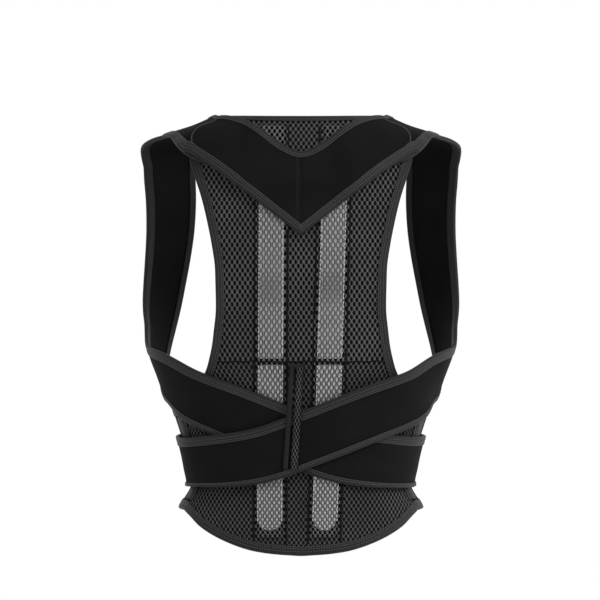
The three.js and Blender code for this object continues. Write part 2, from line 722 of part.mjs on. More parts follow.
// Assembly
const brace = new THREE.Group();
brace.name = "posture_corrector";
const stayGap = STAY_TIP_GAP / BRACE_HEIGHT;
const seamGap = EDGE_GAP / BRACE_HEIGHT;
brace.add(
  cloth("back_panel", panelRows, PANEL_THICK, net),
  binding("neck_binding", neck, -1, 0, PANEL_THICK, tape),
  binding("hem_binding", hem, 1, 0, PANEL_THICK, tape),
  binding("side_binding_left", tops.left.slice(1), 1, 0, PANEL_THICK, tape),
  binding("side_binding_right", tops.right.slice(1), -1, 0, PANEL_THICK, tape),
  yoke(),
  binding("yoke_lower_binding", yokeLow, 1, 0, YOKE_THICK, tape),
  binding("yoke_upper_binding", yokeTop, -1, 0, YOKE_THICK, tape),
  keeper(),
);
for (const side of [-1, 1]) brace.add(belt(side), channel(side), ...strap(side));
for (const stay of STAYS)
  brace.add(
    pocket(stay, "upper", POCKET_TOP, SEAM_DOWN - seamGap),
    pocket(stay, "lower", SEAM_DOWN + seamGap, POCKET_BOTTOM),
    stayBar(stay, "upper", STAY_TOP, SEAM_DOWN - stayGap, STAY_WIDTH / 2, STAY_CORNER),
    stayBar(stay, "lower", SEAM_DOWN + stayGap, STAY_BOTTOM, STAY_CORNER, STAY_WIDTH / 2),
  );

export default brace;
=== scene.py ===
import math

import bmesh
import bpy
import numpy as np
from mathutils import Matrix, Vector


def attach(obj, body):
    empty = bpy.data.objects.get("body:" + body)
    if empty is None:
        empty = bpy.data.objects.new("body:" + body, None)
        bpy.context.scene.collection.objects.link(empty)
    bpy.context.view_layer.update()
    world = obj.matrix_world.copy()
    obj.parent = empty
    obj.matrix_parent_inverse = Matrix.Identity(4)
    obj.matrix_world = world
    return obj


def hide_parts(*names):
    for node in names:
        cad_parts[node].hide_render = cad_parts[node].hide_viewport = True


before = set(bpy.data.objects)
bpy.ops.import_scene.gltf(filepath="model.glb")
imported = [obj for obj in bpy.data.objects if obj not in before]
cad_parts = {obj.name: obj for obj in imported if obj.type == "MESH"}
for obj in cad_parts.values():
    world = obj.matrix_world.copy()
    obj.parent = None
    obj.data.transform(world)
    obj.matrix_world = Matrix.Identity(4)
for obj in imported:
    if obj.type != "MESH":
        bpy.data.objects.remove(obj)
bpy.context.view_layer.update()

# A back brace in the shape it has when worn. Metres, +Z up. The back faces -Y, the wearer's right is +X
# and Z is 0 at the shoulders. A place on the body is a turn from the back centre, in radians, a height
# and how far it stands off the skin.

bl_info = {
    "name": "Posture corrector",
    "version": (1, 0, 0),
    "blender": (4, 5, 0),
    "location": "3D View > Sidebar > Brace",
    "description": "Builds the cloth, net, tape and stitches of a worn posture corrector",
    "category": "Add Mesh",
}

MM = 0.001
SIDES = {-1: "left", 1: "right"}


def table(names, *rows):
    """A table as named columns."""
    return {name: np.array(column, float) for name, column in zip(names.split(), zip(*rows))}


# The body's sections from the neck down, as shares of the brace's height, half-breadth and depths
BODY = table(
    "down breadth back front",
    (-0.033, 0.316, 0.43, 0.13),
    (-0.012, 0.41, 0.5, 0.23),
    (0.008, 0.505, 0.563, 0.32),
    (0.033, 0.663, 0.634, 0.39),
    (0.057, 0.884, 0.696, 0.467),
    (0.081, 0.979, 0.75, 0.533),
    (0.154, 1, 0.875, 0.717),
    (0.366, 0.979, 1, 1),
    (0.533, 0.868, 0.946, 1),
    (0.6, 0.805, 0.906, 0.973),
    (0.669, 0.747, 0.866, 0.942),
    (0.744, 0.685, 0.83, 0.917),
    (0.8, 0.652, 0.81, 0.892),
    (0.845, 0.637, 0.804, 0.89),
    (0.9, 0.715, 0.822, 0.908),
    (1.03, 0.82, 0.94, 0.983),
)

# The panel's outline: half-widths down the armhole, then turns in degrees along the wing and the hem
NECK_DOWN = 0.003
ARMHOLE = table(
    "down half",
    (0.019, 0.45),
    (0.036, 0.55),
    (0.064, 0.62),
    (0.098, 0.65),
    (0.12, 0.634),
    (0.142, 0.616),
    (0.19, 0.577),
    (0.24, 0.546),
    (0.295, 0.518),
    (0.35, 0.499),
    (0.435, 0.494),
    (0.495, 0.508),
    (0.53, 0.52),
    (0.558, 0.536),
    (0.58, 0.553),
    (0.6, 0.58),
    (0.622, 0.622),
)
WING = table("turn down", (64, 0.642), (69, 0.656), (74, 0.664))
HEM = table(
    "turn down",
    (0, 1),
    (17, 0.996),
    (31, 0.987),
    (43, 0.97),
    (53, 0.95),
    (61, 0.93),
    (68, 0.91),
    (74, 0.899),
)
BELT_TOP, BELT_BOTTOM = 0.666, 0.896

# The right shoulder strap's centre line, from under the yoke to its end on the front of the belt.
# level 0 lies on the skin, 1 on the panel or belt, 2 at the crossing.
STRAP = table(
    "turn down level",
    (47, 0.068, 1),
    (57, 0.055, 1),
    (72, 0.036, 1),
    (90, 0.037, 0),
    (104, 0.07, 0),
    (112, 0.15, 0),
    (117, 0.28, 0),
    (115, 0.4, 0),
    (105, 0.5, 0),
    (91, 0.57, 1),
    (74, 0.595, 1),
    (57, 0.641, 2),
    (26, 0.7, 2),
    (0, 0.738, 2),
    (-30, 0.774, 2),
    (-63, 0.79, 2),
    (-90, 0.788, 1),
    (-118, 0.785, 1),
    (-140, 0.785, 1),
)

# The yoke's right half from the centre seam out, as shares of the half-breadth and height. bulge is how
# far the row curves outwards, as a share of the strap's width.
YOKE = table(
    "low_x low top_x top bulge",
    (0, 0.272, 0, 0.09, 0),
    (0.085, 0.246, 0.05, 0.085, 0),
    (0.19, 0.214, 0.13, 0.068, 0),
    (0.3, 0.181, 0.215, 0.047, 0),
    (0.41, 0.15, 0.305, 0.0285, 0),
    (0.51, 0.123, 0.38, 0.021, 0),
    (0.59, 0.102, 0.435, 0.02, 0.05),
    (0.64, 0.09, 0.475, 0.023, 0.13),
)

# Each stay's centre line at the top and bottom, as shares of the half-breadth
STAYS = {"left": (-0.172, -0.182), "right": (0.2, 0.137)}
POCKET_TOP, STAY_TOP, STAY_BOTTOM, POCKET_BOTTOM = 0.025, 0.114, 0.945, 0.963

# The keeper's line, and how far it has risen from its stitching to the straps
KEEPER_DOWN = (0.566, 0.816)
KEEPER_X = (-0.024, -0.06)
KEEPER_RISE = table(
    "s rise",
    (0, 0),
    (0.04, 0.01),
    (0.1, 0.12),
    (0.2, 0.55),
    (0.29, 0.93),
    (0.36, 1),
    (0.55, 1),
    (0.75, 1),
    (0.93, 1),
    (0.975, 0.45),
    (1, 0),
)

# The pitch of the gathered net's cells on the keeper, across and along
KEEPER_CELL = (0.0034, 0.0076)

# How much closer the net's cells lie further down, where the net is less stretched
NET_CLOSER = table(
    "down across along", (0, 1, 1), (0.55, 1, 1), (0.6, 1.04, 1.04), (0.8, 1.08, 1.14), (1, 1.13, 1.28)
)


def number(name, default, description, **kind):
    """A property for a number."""
    return bpy.props.FloatProperty(name=name, description=description, default=default, **kind)


def length(name, default, description, low=0.0, high=1.0):
    """A property for a length in metres."""
    kind = {"min": low, "max": high, "unit": "LENGTH", "subtype": "DISTANCE", "precision": 5}
    return number(name, default, description, **kind)


def turning(name, degrees, description):
    """A property for a turn round the body."""
    return number(name, math.radians(degrees), description, subtype="ANGLE")


def colour(name, default, description):
    """A property for a linear colour."""
    kind = {"size": 3, "min": 0, "max": 1, "subtype": "COLOR"}
    return bpy.props.FloatVectorProperty(name=name, description=description, default=default, **kind)


class BraceSizes(bpy.types.PropertyGroup):
    height: length("Height", 0.492, "Shoulders to the lowest point of the hem")
    half_breadth: length("Half-breadth", 0.19, "Widest half-breadth of the body")
    back_depth: length("Back depth", 0.112, "Shoulder line to the rearmost point of the back")
    front_depth: length("Front depth", 0.12, "Shoulder line to the foremost point of the chest")
    squareness: number("Squareness", 2.4, "Exponent of the body's sections, 2 is an ellipse")
    panel_thick: length("Panel thickness", 0.003, "Thickness of the net panel with its lining")
    lining_thick: length("Lining thickness", 0.0017, "Thickness of the lining alone")
    belt_thick: length("Belt thickness", 0.003, "Thickness of the belt")
    strap_thick: length("Strap thickness", 0.0024, "Thickness of the straps and the yoke")
    strap_width: length("Strap width", 0.062, "Width of the shoulder straps")
    tape_thick: length("Tape thickness", 0.0007, "Wall of the binding tape")
    tape_width: length("Tape width", 0.0095, "How far the binding tape reaches over the cloth")
    narrow_tape: length("Narrow tape width", 0.0065, "Tape width at the neck and a strap's inner edge")
    stay_width: length("Stay width", 0.0275, "Width of the flat stays")
    joint_turn: turning("Joint turn", 74, "From the back centre to where the net ends and the belt starts")
    belt_end_turn: turning("Belt end", 196, "From the back centre to a belt's front end")
    seam_down: number("Seam height", 0.558, "Seam across the panel, as a share of the height")
    gap: length("Edge gap", 0.0003, "Clearance between an edge and the tape folded round it")
    layer_gap: length("Layer gap", 0.0005, "Clearance between one layer and the next")


class NetSizes(bpy.types.PropertyGroup):
    pitch_across: length("Pitch across", 0.0059, "Distance from one column of holes to the next")
    pitch_along: length("Pitch along", 0.0094, "Distance from one hole to the next in its column")
    hole_across: length("Hole width", 0.0029, "Width of a hole")
    hole_along: length("Hole height", 0.0056, "Height of a hole")
    depth: length("Yarn depth", 0.0011, "How deep the yarn is round a hole")


class StitchSizes(bpy.types.PropertyGroup):
    pitch: length("Pitch", 0.0029, "Distance from one stitch to the next")
    long: length("Length", 0.0023, "Length of a stitch")
    thick: length("Thickness", 0.0006, "Thickness of the thread")


class BraceColours(bpy.types.PropertyGroup):
    net: colour("Net", (0.046, 0.046, 0.0478), "Yarn of the net")
    keeper: colour("Keeper", (0.007, 0.007, 0.0073), "Smooth rolled net of the keeper")
    upper_pocket: colour("Upper pocket net", (0.074, 0.074, 0.074), "Yarn over the upper stays")
    lower_pocket: colour("Lower pocket net", (0.06, 0.06, 0.06), "Yarn over the lower stays")
    lining: colour("Lining", (0.0032, 0.0032, 0.0034), "Lining behind the net")
    neoprene: colour("Neoprene", (0.0034, 0.0034, 0.0035), "Knit face of the straps, yoke and belt")
    tape: colour("Tape", (0.0038, 0.0038, 0.0043), "Binding tape")
    thread: colour("Thread", (0.038, 0.038, 0.04), "Sewing thread")
    seam: colour("Seam", (0.0022, 0.0022, 0.0022), "Pressed seams across the net")
    upper_stay: colour("Upper stay", (0.235, 0.235, 0.235), "Flat stays in the upper pockets")
    lower_stay: colour("Lower stay", (0.27, 0.27, 0.27), "Flat stays in the lower pockets")


class StudioSettings(bpy.types.PropertyGroup):
    distance: length("Camera distance", 10.0, "From the shoulder line to the camera", high=20)
    pixel: length("Pixel", 0.00112, "Size of one pixel of a 600-pixel picture at the back")
    centre_x: length("Centre X", -0.0011, "Where the picture's centre lies, sideways", low=-1)
    centre_z: length("Centre Z", -0.206, "Where the picture's centre lies, upwards", low=-1)
    floor: length("Floor", -0.62, "Height of the floor", low=-1)


PICTURE_PIXELS = 600


def sizes():
    return bpy.context.scene.brace_sizes


# Shapes of the body


def unit(vectors):
    return vectors / np.linalg.norm(vectors, axis=-1, keepdims=True)


def dot(a, b):
    return (a * b).sum(axis=-1)


def reach_of(points):
    """How far along a row of points each of them lies."""
    return np.append(0, np.cumsum(np.linalg.norm(np.diff(points, axis=0), axis=-1)))


def paired(across, down):
    """Flat coordinates for a grid, from those of its columns and its rows."""
    return np.stack(np.broadcast_arrays(across, down[:, None]), axis=-1)


def joined(*stretches):
    """Rows of columns, each column joined end to end."""
    return [np.concatenate(columns) for columns in zip(*stretches)]


def smoothstep(x, low, high):
    t = np.clip((x - low) / (high - low), 0, 1)
    return t * t * (3 - 2 * t)


def along(columns, name, at, key="down"):
    """A smooth value of a table's column at places on its key column."""
    keys, values = columns[key], columns[name]
    order = np.arange(len(keys))
    low, high = np.maximum(order - 1, 0), np.minimum(order + 1, len(keys) - 1)
    slope = (values[high] - values[low]) / (keys[high] - keys[low])
    k = np.clip(np.searchsorted(keys, at) - 1, 0, len(keys) - 2)
    span = keys[k + 1] - keys[k]
    t = np.clip((at - keys[k]) / span, 0, 1)
    return (
        (2 * t**3 - 3 * t**2 + 1) * values[k]
        + (t**3 - 2 * t**2 + t) * span * slope[k]
        + (3 * t**2 - 2 * t**3) * values[k + 1]
        + (t**3 - t**2) * span * slope[k + 1]
    )


def height_of(down):
    return -np.asarray(down, float) * sizes().height


def section(z, behind):
    """The body's half-breadth and its depth at a height."""
    s = sizes()
    down = -z / s.height
    back = s.back_depth * along(BODY, "back", down)
    front = s.front_depth * along(BODY, "front", down)
    return s.half_breadth * along(BODY, "breadth", down), np.where(behind, back, front)


def skin(turn, z):
    """Points of the body's skin."""
    power = sizes().squareness
    s, c = np.sin(turn), np.cos(turn)
    half, depth = section(z, c > 0)
    r = (np.abs(s / half) ** power + np.abs(c / depth) ** power) ** (-1 / power)
    return np.stack([r * s, -r * c, z + 0 * r], axis=-1)


def slopes(turn, z):
    """How the skin's point moves with the turn and the height, and the direction straight out."""
    dt, dz = 0.002, 0.0005
    by_turn = (skin(turn + dt, z) - skin(turn - dt, z)) / (2 * dt)
    by_height = (skin(turn, z + dz) - skin(turn, z - dz)) / (2 * dz)
    return by_turn, by_height, unit(np.cross(by_turn, by_height))


def off_skin(turn, z, stand):
    return skin(turn, z) + slopes(turn, z)[2] * np.asarray(stand, float)[..., None]


def turn_at(x, z):
    """The turn at which the back is x to the side at a height."""
    power = sizes().squareness
    half, depth = section(z, True)
    share = np.minimum(np.abs(x) / half, 0.9995)
    y = depth * (1 - share**power) ** (1 / power)
    return np.sign(x) * np.arctan2(share * half, y)


def walk(turn, z, heading, distance):
    """The places reached by walking over the skin in given directions."""
    distance = np.broadcast_to(np.asarray(distance, float), np.shape(turn))
    steps = max(1, math.ceil(float(np.abs(distance).max()) / (8 * MM)))
    for _ in range(steps):
        by_turn, by_height, out = slopes(turn, z)
        heading = unit(heading - dot(heading, out)[..., None] * out)
        move = heading * (distance / steps)[..., None]
        a, b, c = dot(by_turn, by_turn), dot(by_turn, by_height), dot(by_height, by_height)
        p, q = dot(by_turn, move), dot(by_height, move)
        det = a * c - b * b
        turn = turn + (c * p - b * q) / det
        z = z + (a * q - b * p) / det
    return turn, z


class Line:
    """A line over the body, and the direction across it, to its left as it runs."""

    def __init__(self, turn, z, stand):
        self.turn, self.z = np.asarray(turn, float), np.asarray(z, float)
        self.stand = np.broadcast_to(np.asarray(stand, float), self.turn.shape)
        self.places = (self.turn, self.z, self.stand)
        points = skin(self.turn, self.z)
        way = unit(np.diff(points, axis=0))
        ahead, behind = np.vstack([way, way[-1:]]), np.vstack([way[:1], way])
        self.run = unit(ahead + behind)
        self.across = unit(np.cross(slopes(self.turn, self.z)[2], self.run))
        self.mitre = 1 / np.maximum(0.5, dot(self.run, behind))
        self.reach = reach_of(points)

    def aside(self, left):
        """The turns and heights so far to the left of the line."""
        left = np.broadcast_to(np.asarray(left, float), self.turn.shape)
        return walk(self.turn, self.z, self.across, left * self.mitre)

    def beside(self, left, rise=0.0):
        """The points so far to the left of the line and above its stand."""
        turn, z = self.aside(left)
        return off_skin(turn, z, self.stand + rise)

    def grid(self, lefts):
        """The turns and the heights of a grid, at several offsets to the left."""
        return np.stack([self.aside(left) for left in lefts], axis=-1)

    def evened(self, count):
        """The line's places at a number of even shares of its points."""
        at, shares = np.linspace(0, 1, count), np.linspace(0, 1, len(self.turn))
        return [np.interp(at, shares, column)[:, None] for column in self.places]


# The step along a line, and how many places of it are measured to keep to that step
LINE_STEP = 3 * MM
FINE_COUNT = 600


def spaced(place, last, step=LINE_STEP):
    """A line through place(u), for u from 0 to last, in steps of one length along the body."""
    u = np.linspace(0, last, FINE_COUNT)
    turn, z, _ = place(u)
    reach = reach_of(skin(turn, z))
    count = max(2, round(reach[-1] / step))
    return Line(*place(np.interp(np.linspace(0, reach[-1], count + 1), reach, u)))


def smoothed(turn, z, stand, step=LINE_STEP):
    """A smooth line through a few places."""
    run = reach_of(skin(turn, z))
    columns = {"run": run, "turn": turn, "z": z, "stand": np.broadcast_to(stand, np.shape(turn))}

    def place(u):
        return [along(columns, name, u, "run") for name in ("turn", "z", "stand")]

    return spaced(place, run[-1], step)


# Heights of the layers above the skin, and the thickness of a channel strip and of a stay's cover, and how
# far the cover's yarn stands over its level

CHANNEL_THICK = 1 * MM
COVER_THICK, COVER_RISE = 1.2 * MM, 0.8 * MM


def levels():
    s = sizes()
    tape = s.tape_thick + s.gap
    found = {"stay": s.panel_thick + s.gap, "skin": tape}
    found["pocket"] = found["stay"] + COVER_THICK + s.layer_gap
    found["channel"] = max(s.panel_thick, s.belt_thick) + s.layer_gap
    found["panel"] = max(found["channel"] + CHANNEL_THICK, s.panel_thick + tape) + s.layer_gap + tape
    found["under"] = max(found["panel"], found["pocket"] + COVER_RISE + 1.5 * s.layer_gap + tape)
    found["over"] = found["under"] + s.strap_thick + tape + 1.5 * s.layer_gap + tape
    found["keeper"] = found["over"] + s.strap_thick + tape + s.layer_gap
    found["yoke_end"] = found["panel"] + s.strap_thick + tape + 2 * s.layer_gap + tape
    found["belt_over"] = s.belt_thick + tape + s.layer_gap + tape
    return found


# Lines of the brace

# How many degrees before the left half's end the right belt half starts and ends to rise over it
LAP_RISE = (14, 5)

# The turns, in degrees, between which the yoke passes to the level of its ends
YOKE_RISE = (18, 34)


def belt_edge(side, from_down, down):
    """The places of a belt half's edge from the joint to its front end."""
    s = sizes()
    start = s.joint_turn + s.gap / s.half_breadth
    turn = np.linspace(start, s.belt_end_turn, 17)
    share = np.minimum(1, np.arange(17) / 2)
    lap = 2 * math.pi - s.belt_end_turn
    rise = smoothstep(turn, *(lap - np.radians(LAP_RISE)))
    stand = levels()["belt_over"] * rise if side > 0 else 0 * rise
    return side * turn, height_of(from_down + (down - from_down) * share), stand


def panel_side():
    """The places of the panel's right edge, from the neck corner to the joint with the belt."""
    z = height_of(ARMHOLE["down"])
    turn = turn_at(ARMHOLE["half"] * sizes().half_breadth, z)
    wing = (np.radians(WING["turn"]), height_of(WING["down"]), 0 * WING["turn"])
    return joined((turn, z, 0 * z), wing)


def side_line(side):
    turn, z, stand = panel_side()
    belt = belt_edge(side, WING["down"][-1], BELT_TOP)
    return smoothed(*joined((side * turn[1:], z[1:], stand[1:]), belt))


def hem_height(turn):
    return height_of(along(HEM, "down", np.degrees(np.abs(turn)), "turn"))


def hem_line():
    turn = np.linspace(-sizes().joint_turn, sizes().joint_turn, 21)
    left = [column[::-1] for column in belt_edge(-1, HEM["down"][-1], BELT_BOTTOM)]
    right = belt_edge(1, HEM["down"][-1], BELT_BOTTOM)
    return smoothed(*joined(left, (turn, hem_height(turn), 0 * turn), right))


def neck_turn():
    s = sizes()
    z = height_of(NECK_DOWN)
    return turn_at(ARMHOLE["half"][0] * s.half_breadth - s.tape_width - s.gap, z)


def neck_line():
    turn = np.linspace(-neck_turn(), neck_turn(), 15)
    return smoothed(turn, height_of(NECK_DOWN) + 0 * turn, 0)


def yoke_stand(turn):
    level = levels()
    rise = smoothstep(np.abs(turn), *np.radians(YOKE_RISE))
    return level["under"] + (level["yoke_end"] - level["under"]) * rise


def yoke_half(side, low, u):
    """The places of the yoke's lower or upper edge at places on its table."""
    columns = {**YOKE, "i": np.arange(len(YOKE["low"]))}
    names = ("low_x", "low") if low else ("top_x", "top")
    x, down = [along(columns, name, u, "i") for name in names]
    z = height_of(down)
    turn = turn_at(side * x * sizes().half_breadth, z)
    return turn, z, yoke_stand(turn)


def yoke_line(low):
    """An edge of the yoke from its left end over the middle to its right end."""
    right = spaced(lambda u: yoke_half(1, low, u), len(YOKE["low"]) - 1)
    turn, z, stand = [column[:0:-1] for column in right.places]
    return Line(*joined((-turn, z, stand), right.places))


# Where the yoke's lower tape lies on a strap's edge, from the yoke's end on, and how far it sinks in there
TAPE_ON_STRAP = (5 * MM, 34 * MM)
TAPE_SINK = 0.6 * MM


def yoke_tape_line():
    """The yoke's lower edge, carried on at both ends along the straps' edges and let down onto them."""
    line = yoke_line(True)
    nearest, furthest = TAPE_ON_STRAP
    ends = []
    for side, end in ((-1, 0), (1, -1)):
        strap = strap_line(side)
        turn, z = strap.aside(-side * sizes().strap_width / 2)
        away = np.linalg.norm(skin(turn, z) - skin(line.turn[end], line.z[end]), axis=-1)
        near = np.flatnonzero((z > line.z[end] + 1 * MM) & (away > nearest) & (away < furthest))
        near = near[np.argsort(away[near])][:: -1 if side < 0 else 1]
        down = smoothstep(away[near], 4 * MM, furthest)
        stand = line.stand[end] * (1 - down) + (strap.stand[near] - TAPE_SINK) * down
        ends.append((turn[near], z[near], stand))
    return smoothed(*joined(ends[0], line.places, ends[1]))


def strap_line(side):
    """A shoulder strap's centre line."""
    level = levels()
    crossing = level["over"] if side > 0 else level["under"]
    stands = np.array([level["skin"], level["panel"], crossing])[STRAP["level"].astype(int)]
    last = len(stands) - 1
    columns = {**STRAP, "i": np.arange(last + 1)}

    def place(u):
        k = np.clip(np.floor(u).astype(int), 0, last - 1)
        rise = smoothstep(u - k, 0, 1)
        turn = side * np.radians(along(columns, "turn", u, "i"))
        down = along(columns, "down", u, "i")
        return turn, height_of(down), stands[k] * (1 - rise) + stands[k + 1] * rise

    return spaced(place, last)


def stay_x(side, z):
    top, bottom = STAYS[side]
    share = (-z / sizes().height - STAY_TOP) / (STAY_BOTTOM - STAY_TOP)
    return sizes().half_breadth * (top + (bottom - top) * share)


# Meshes


def linked(name, data):
    """A new object, in the scene."""
    piece = bpy.data.objects.new(name, data)
    bpy.context.scene.collection.objects.link(piece)
    return piece


def new_piece(name, points, faces, material, uv=None):
    """An object with a mesh of the given points and faces."""
    mesh = bpy.data.meshes.new(name)
    mesh.from_pydata(np.asarray(points, float).reshape(-1, 3).tolist(), [], faces)
    if uv is not None:
        layer = mesh.uv_layers.new(name="cloth")
        corners = np.zeros(len(mesh.loops), int)
        mesh.loops.foreach_get("vertex_index", corners)
        layer.data.foreach_set("uv", np.asarray(uv, np.float32).reshape(-1, 2)[corners].ravel())
    mesh.polygons.foreach_set("use_smooth", np.ones(len(mesh.polygons), bool))
    mesh.materials.append(material)
    return linked(name, mesh)


def store(mesh, name, vectors):
    """Stores a vector at each of a mesh's points."""
    attribute = mesh.attributes.new(name, "FLOAT_VECTOR", "POINT")
    attribute.data.foreach_set("vector", np.asarray(vectors, np.float32).ravel())


def grid_faces(rows, columns, first=0, flipped=False):
    """Four-sided faces over a grid of points."""
    r, c = np.meshgrid(np.arange(rows - 1), np.arange(columns - 1), indexing="ij")
    a = first + r * columns + c
    quads = np.stack([a, a + 1, a + 1 + columns, a + columns], axis=-1).reshape(-1, 4)
    return (quads[:, ::-1] if flipped else quads).tolist()


def outward(piece):
    """Turns a closed piece's faces outwards if they point in."""
    mesh = piece.data
    mesh.calc_loop_triangles()
    points = np.zeros(len(mesh.vertices) * 3)
    mesh.vertices.foreach_get("co", points)
    corners = np.zeros(len(mesh.loop_triangles) * 3, int)
    mesh.loop_triangles.foreach_get("vertices", corners)
    a, b, c = points.reshape(-1, 3)[corners.reshape(-1, 3)].transpose(1, 0, 2)
    if (a * np.cross(b, c)).sum() < 0:
        mesh.flip_normals()
    return piece


def wall(name, turn, z, low, high, uv, material):
    """A closed cloth wall over a grid of places, from one stand to another."""
    rows, columns = turn.shape
    points = np.concatenate([off_skin(turn, z, low), off_skin(turn, z, high)])
    count = rows * columns
    faces = grid_faces(rows, columns, 0, True) + grid_faces(rows, columns, count)
    grid = np.arange(count).reshape(rows, columns)
    for rim in (grid[0], grid[:, -1], grid[-1, ::-1], grid[::-1, 0]):
        a, b = rim[:-1], rim[1:]
        faces += np.stack([a, b, b + count, a + count], axis=-1).tolist()
    return outward(new_piece(name, points, faces, material, np.concatenate([uv, uv])))


def sweep(name, line, lefts, rises, material):
    """A closed bar along a line, through a section of offsets to the left and rises."""
    loops = np.stack([line.beside(left, rise) for left, rise in zip(lefts, rises)], axis=1)
    rows, n = loops.shape[:2]
    ring = np.append(np.arange(n), 0)
    grid = np.arange(rows * n).reshape(rows, n)[:, ring]
    quads = np.stack([grid[:-1, :-1], grid[:-1, 1:], grid[1:, 1:], grid[1:, :-1]], axis=-1)
    faces = quads.reshape(-1, 4).tolist()
    faces += [grid[0, :-1][::-1].tolist(), grid[-1, :-1].tolist()]
    uv = paired(reach_of(np.column_stack([lefts, rises])), line.reach)
    return outward(new_piece(name, loops, faces, material, uv))


def dressed(piece, slot, *nodes):
    """Rides the piece on the brace and hides the nodes that it stands for; the slot is not used."""
    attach(piece, "root")
    if nodes:
        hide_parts(*nodes)
    return piece


# Geometry Nodes


class Nodes:
    """Builds a tree of nodes, node by node."""

    def link(self, source, socket):
        self.tree.links.new(source, socket)

    def add(self, kind, links=None, **settings):
        """A new node, with a source or a value for each of the inputs named."""
        node = self.tree.nodes.new(kind)
        for key, value in settings.items():
            setattr(node, key, value)
        for socket, source in (links or {}).items():
            if isinstance(source, bpy.types.NodeSocket):
                self.link(source, node.inputs[socket])
            else:
                node.inputs[socket].default_value = source
        return node


class Tree(Nodes):
    """A Geometry Nodes tree with named inputs."""

    def __init__(self, name, **inputs):
        self.tree = bpy.data.node_groups.new(name, "GeometryNodeTree")
        face = self.tree.interface
        face.new_socket("Geometry", in_out="INPUT", socket_type="NodeSocketGeometry")
        face.new_socket("Geometry", in_out="OUTPUT", socket_type="NodeSocketGeometry")
        for label, kind in inputs.items():
            face.new_socket(label, in_out="INPUT", socket_type="NodeSocket" + kind)
        self.inputs = self.add("NodeGroupInput").outputs
        self.output = self.add("NodeGroupOutput").inputs[0]

    def attribute(self, name, kind="FLOAT_VECTOR"):
        node = self.add("GeometryNodeInputNamedAttribute", {"Name": name}, data_type=kind)
        return node.outputs["Attribute"]

    def shape(self, name):
        """The mesh of an object that is an input."""
        links = {"Object": self.inputs[name]}
        node = self.add("GeometryNodeObjectInfo", links, transform_space="ORIGINAL")
        return node.outputs["Geometry"]

    def finish(self, geometry, material):
        """Ends the tree in Realize Instances and Set Material."""
        real = self.add("GeometryNodeRealizeInstances", {"Geometry": geometry})
        links = {"Geometry": real.outputs[0], "Material": self.inputs[material]}
        self.link(self.add("GeometryNodeSetMaterial", links).outputs[0], self.output)
        return self.tree


def net_tree():
    """Cells set on flat points, joined, and laid over a bed by the bed's flat coordinates."""
    tree = Tree("net_over_bed", Bed="Object", Cell="Object", Join="Float", Yarn="Material")
    bed_mesh = tree.shape("Bed")
    links = {"Points": tree.inputs["Geometry"], "Instance": tree.shape("Cell")}
    placed = tree.add("GeometryNodeInstanceOnPoints", links)
    real = tree.add("GeometryNodeRealizeInstances", {"Geometry": placed.outputs[0]})
    links = {"Geometry": real.outputs[0], "Distance": tree.inputs["Join"]}
    net = tree.add("GeometryNodeMergeByDistance", links)
    position = tree.add("GeometryNodeInputPosition").outputs[0]
    parts = tree.add("ShaderNodeSeparateXYZ", {0: position}).outputs
    flat = tree.add("ShaderNodeCombineXYZ", {0: parts[0], 1: parts[1]}).outputs[0]

    def sampled(value):
        """A value of the bed at the place that the flat net's point lies on."""
        links = {"Mesh": bed_mesh, 2: tree.attribute("flat"), 3: flat}
        node = tree.add("GeometryNodeSampleUVSurface", links, data_type="FLOAT_VECTOR")
        tree.link(value, node.inputs["Value"])
        return node.outputs

    where, out = sampled(position), sampled(tree.attribute("out"))
    lift = tree.add("ShaderNodeVectorMath", {0: out[0]}, operation="SCALE")
    tree.link(parts[2], lift.inputs["Scale"])
    laid = tree.add("ShaderNodeVectorMath", {0: where[0], 1: lift.outputs[0]}, operation="ADD")
    off_bed = tree.add("FunctionNodeBooleanMath", {0: where["Is Valid"]}, operation="NOT")
    links = {"Geometry": net.outputs[0], "Name": "off_bed", "Value": off_bed.outputs[0]}
    marked = tree.add("GeometryNodeStoreNamedAttribute", links, data_type="BOOLEAN", domain="POINT")
    links = {"Geometry": marked.outputs[0], "Position": laid.outputs[0]}
    spread = tree.add("GeometryNodeSetPosition", links)
    links = {"Geometry": spread.outputs[0], "Selection": tree.attribute("off_bed", "BOOLEAN")}
    kept = tree.add("GeometryNodeDeleteGeometry", links, domain="POINT")
    return tree.finish(kept.outputs[0], "Yarn")


def stitch_tree():
    """Thread beads set along lines at one pitch, turned along the line or slanted to it."""
    inputs = {"Bead": "Object", "Pitch": "Float", "Size": "Vector", "Slant": "Float", "Thread": "Material"}
    tree = Tree("stitches_on_lines", **inputs)
    curve = tree.add("GeometryNodeMeshToCurve", {"Mesh": tree.inputs["Geometry"]})
    links = {"Curve": curve.outputs[0], "Length": tree.inputs["Pitch"]}
    row = tree.add("GeometryNodeResampleCurve", links, mode="LENGTH")
    links = {0: tree.add("GeometryNodeInputTangent").outputs[0], 1: tree.attribute("out")}
    turned = tree.add("FunctionNodeAxesToRotation", links, primary_axis="X", secondary_axis="Z")
    links = {"Axis": (0, 0, 1), "Angle": tree.inputs["Slant"]}
    slant = tree.add("FunctionNodeAxisAngleToRotation", links)
    links = {0: turned.outputs[0], 1: slant.outputs[0]}
    turn = tree.add("FunctionNodeRotateRotation", links, rotation_space="LOCAL")
    links = {
        "Points": row.outputs[0],
        "Instance": tree.shape("Bead"),
        "Rotation": turn.outputs[0],
        "Scale": tree.inputs["Size"],
    }
    placed = tree.add("GeometryNodeInstanceOnPoints", links)
    return tree.finish(placed.outputs[0], "Thread")


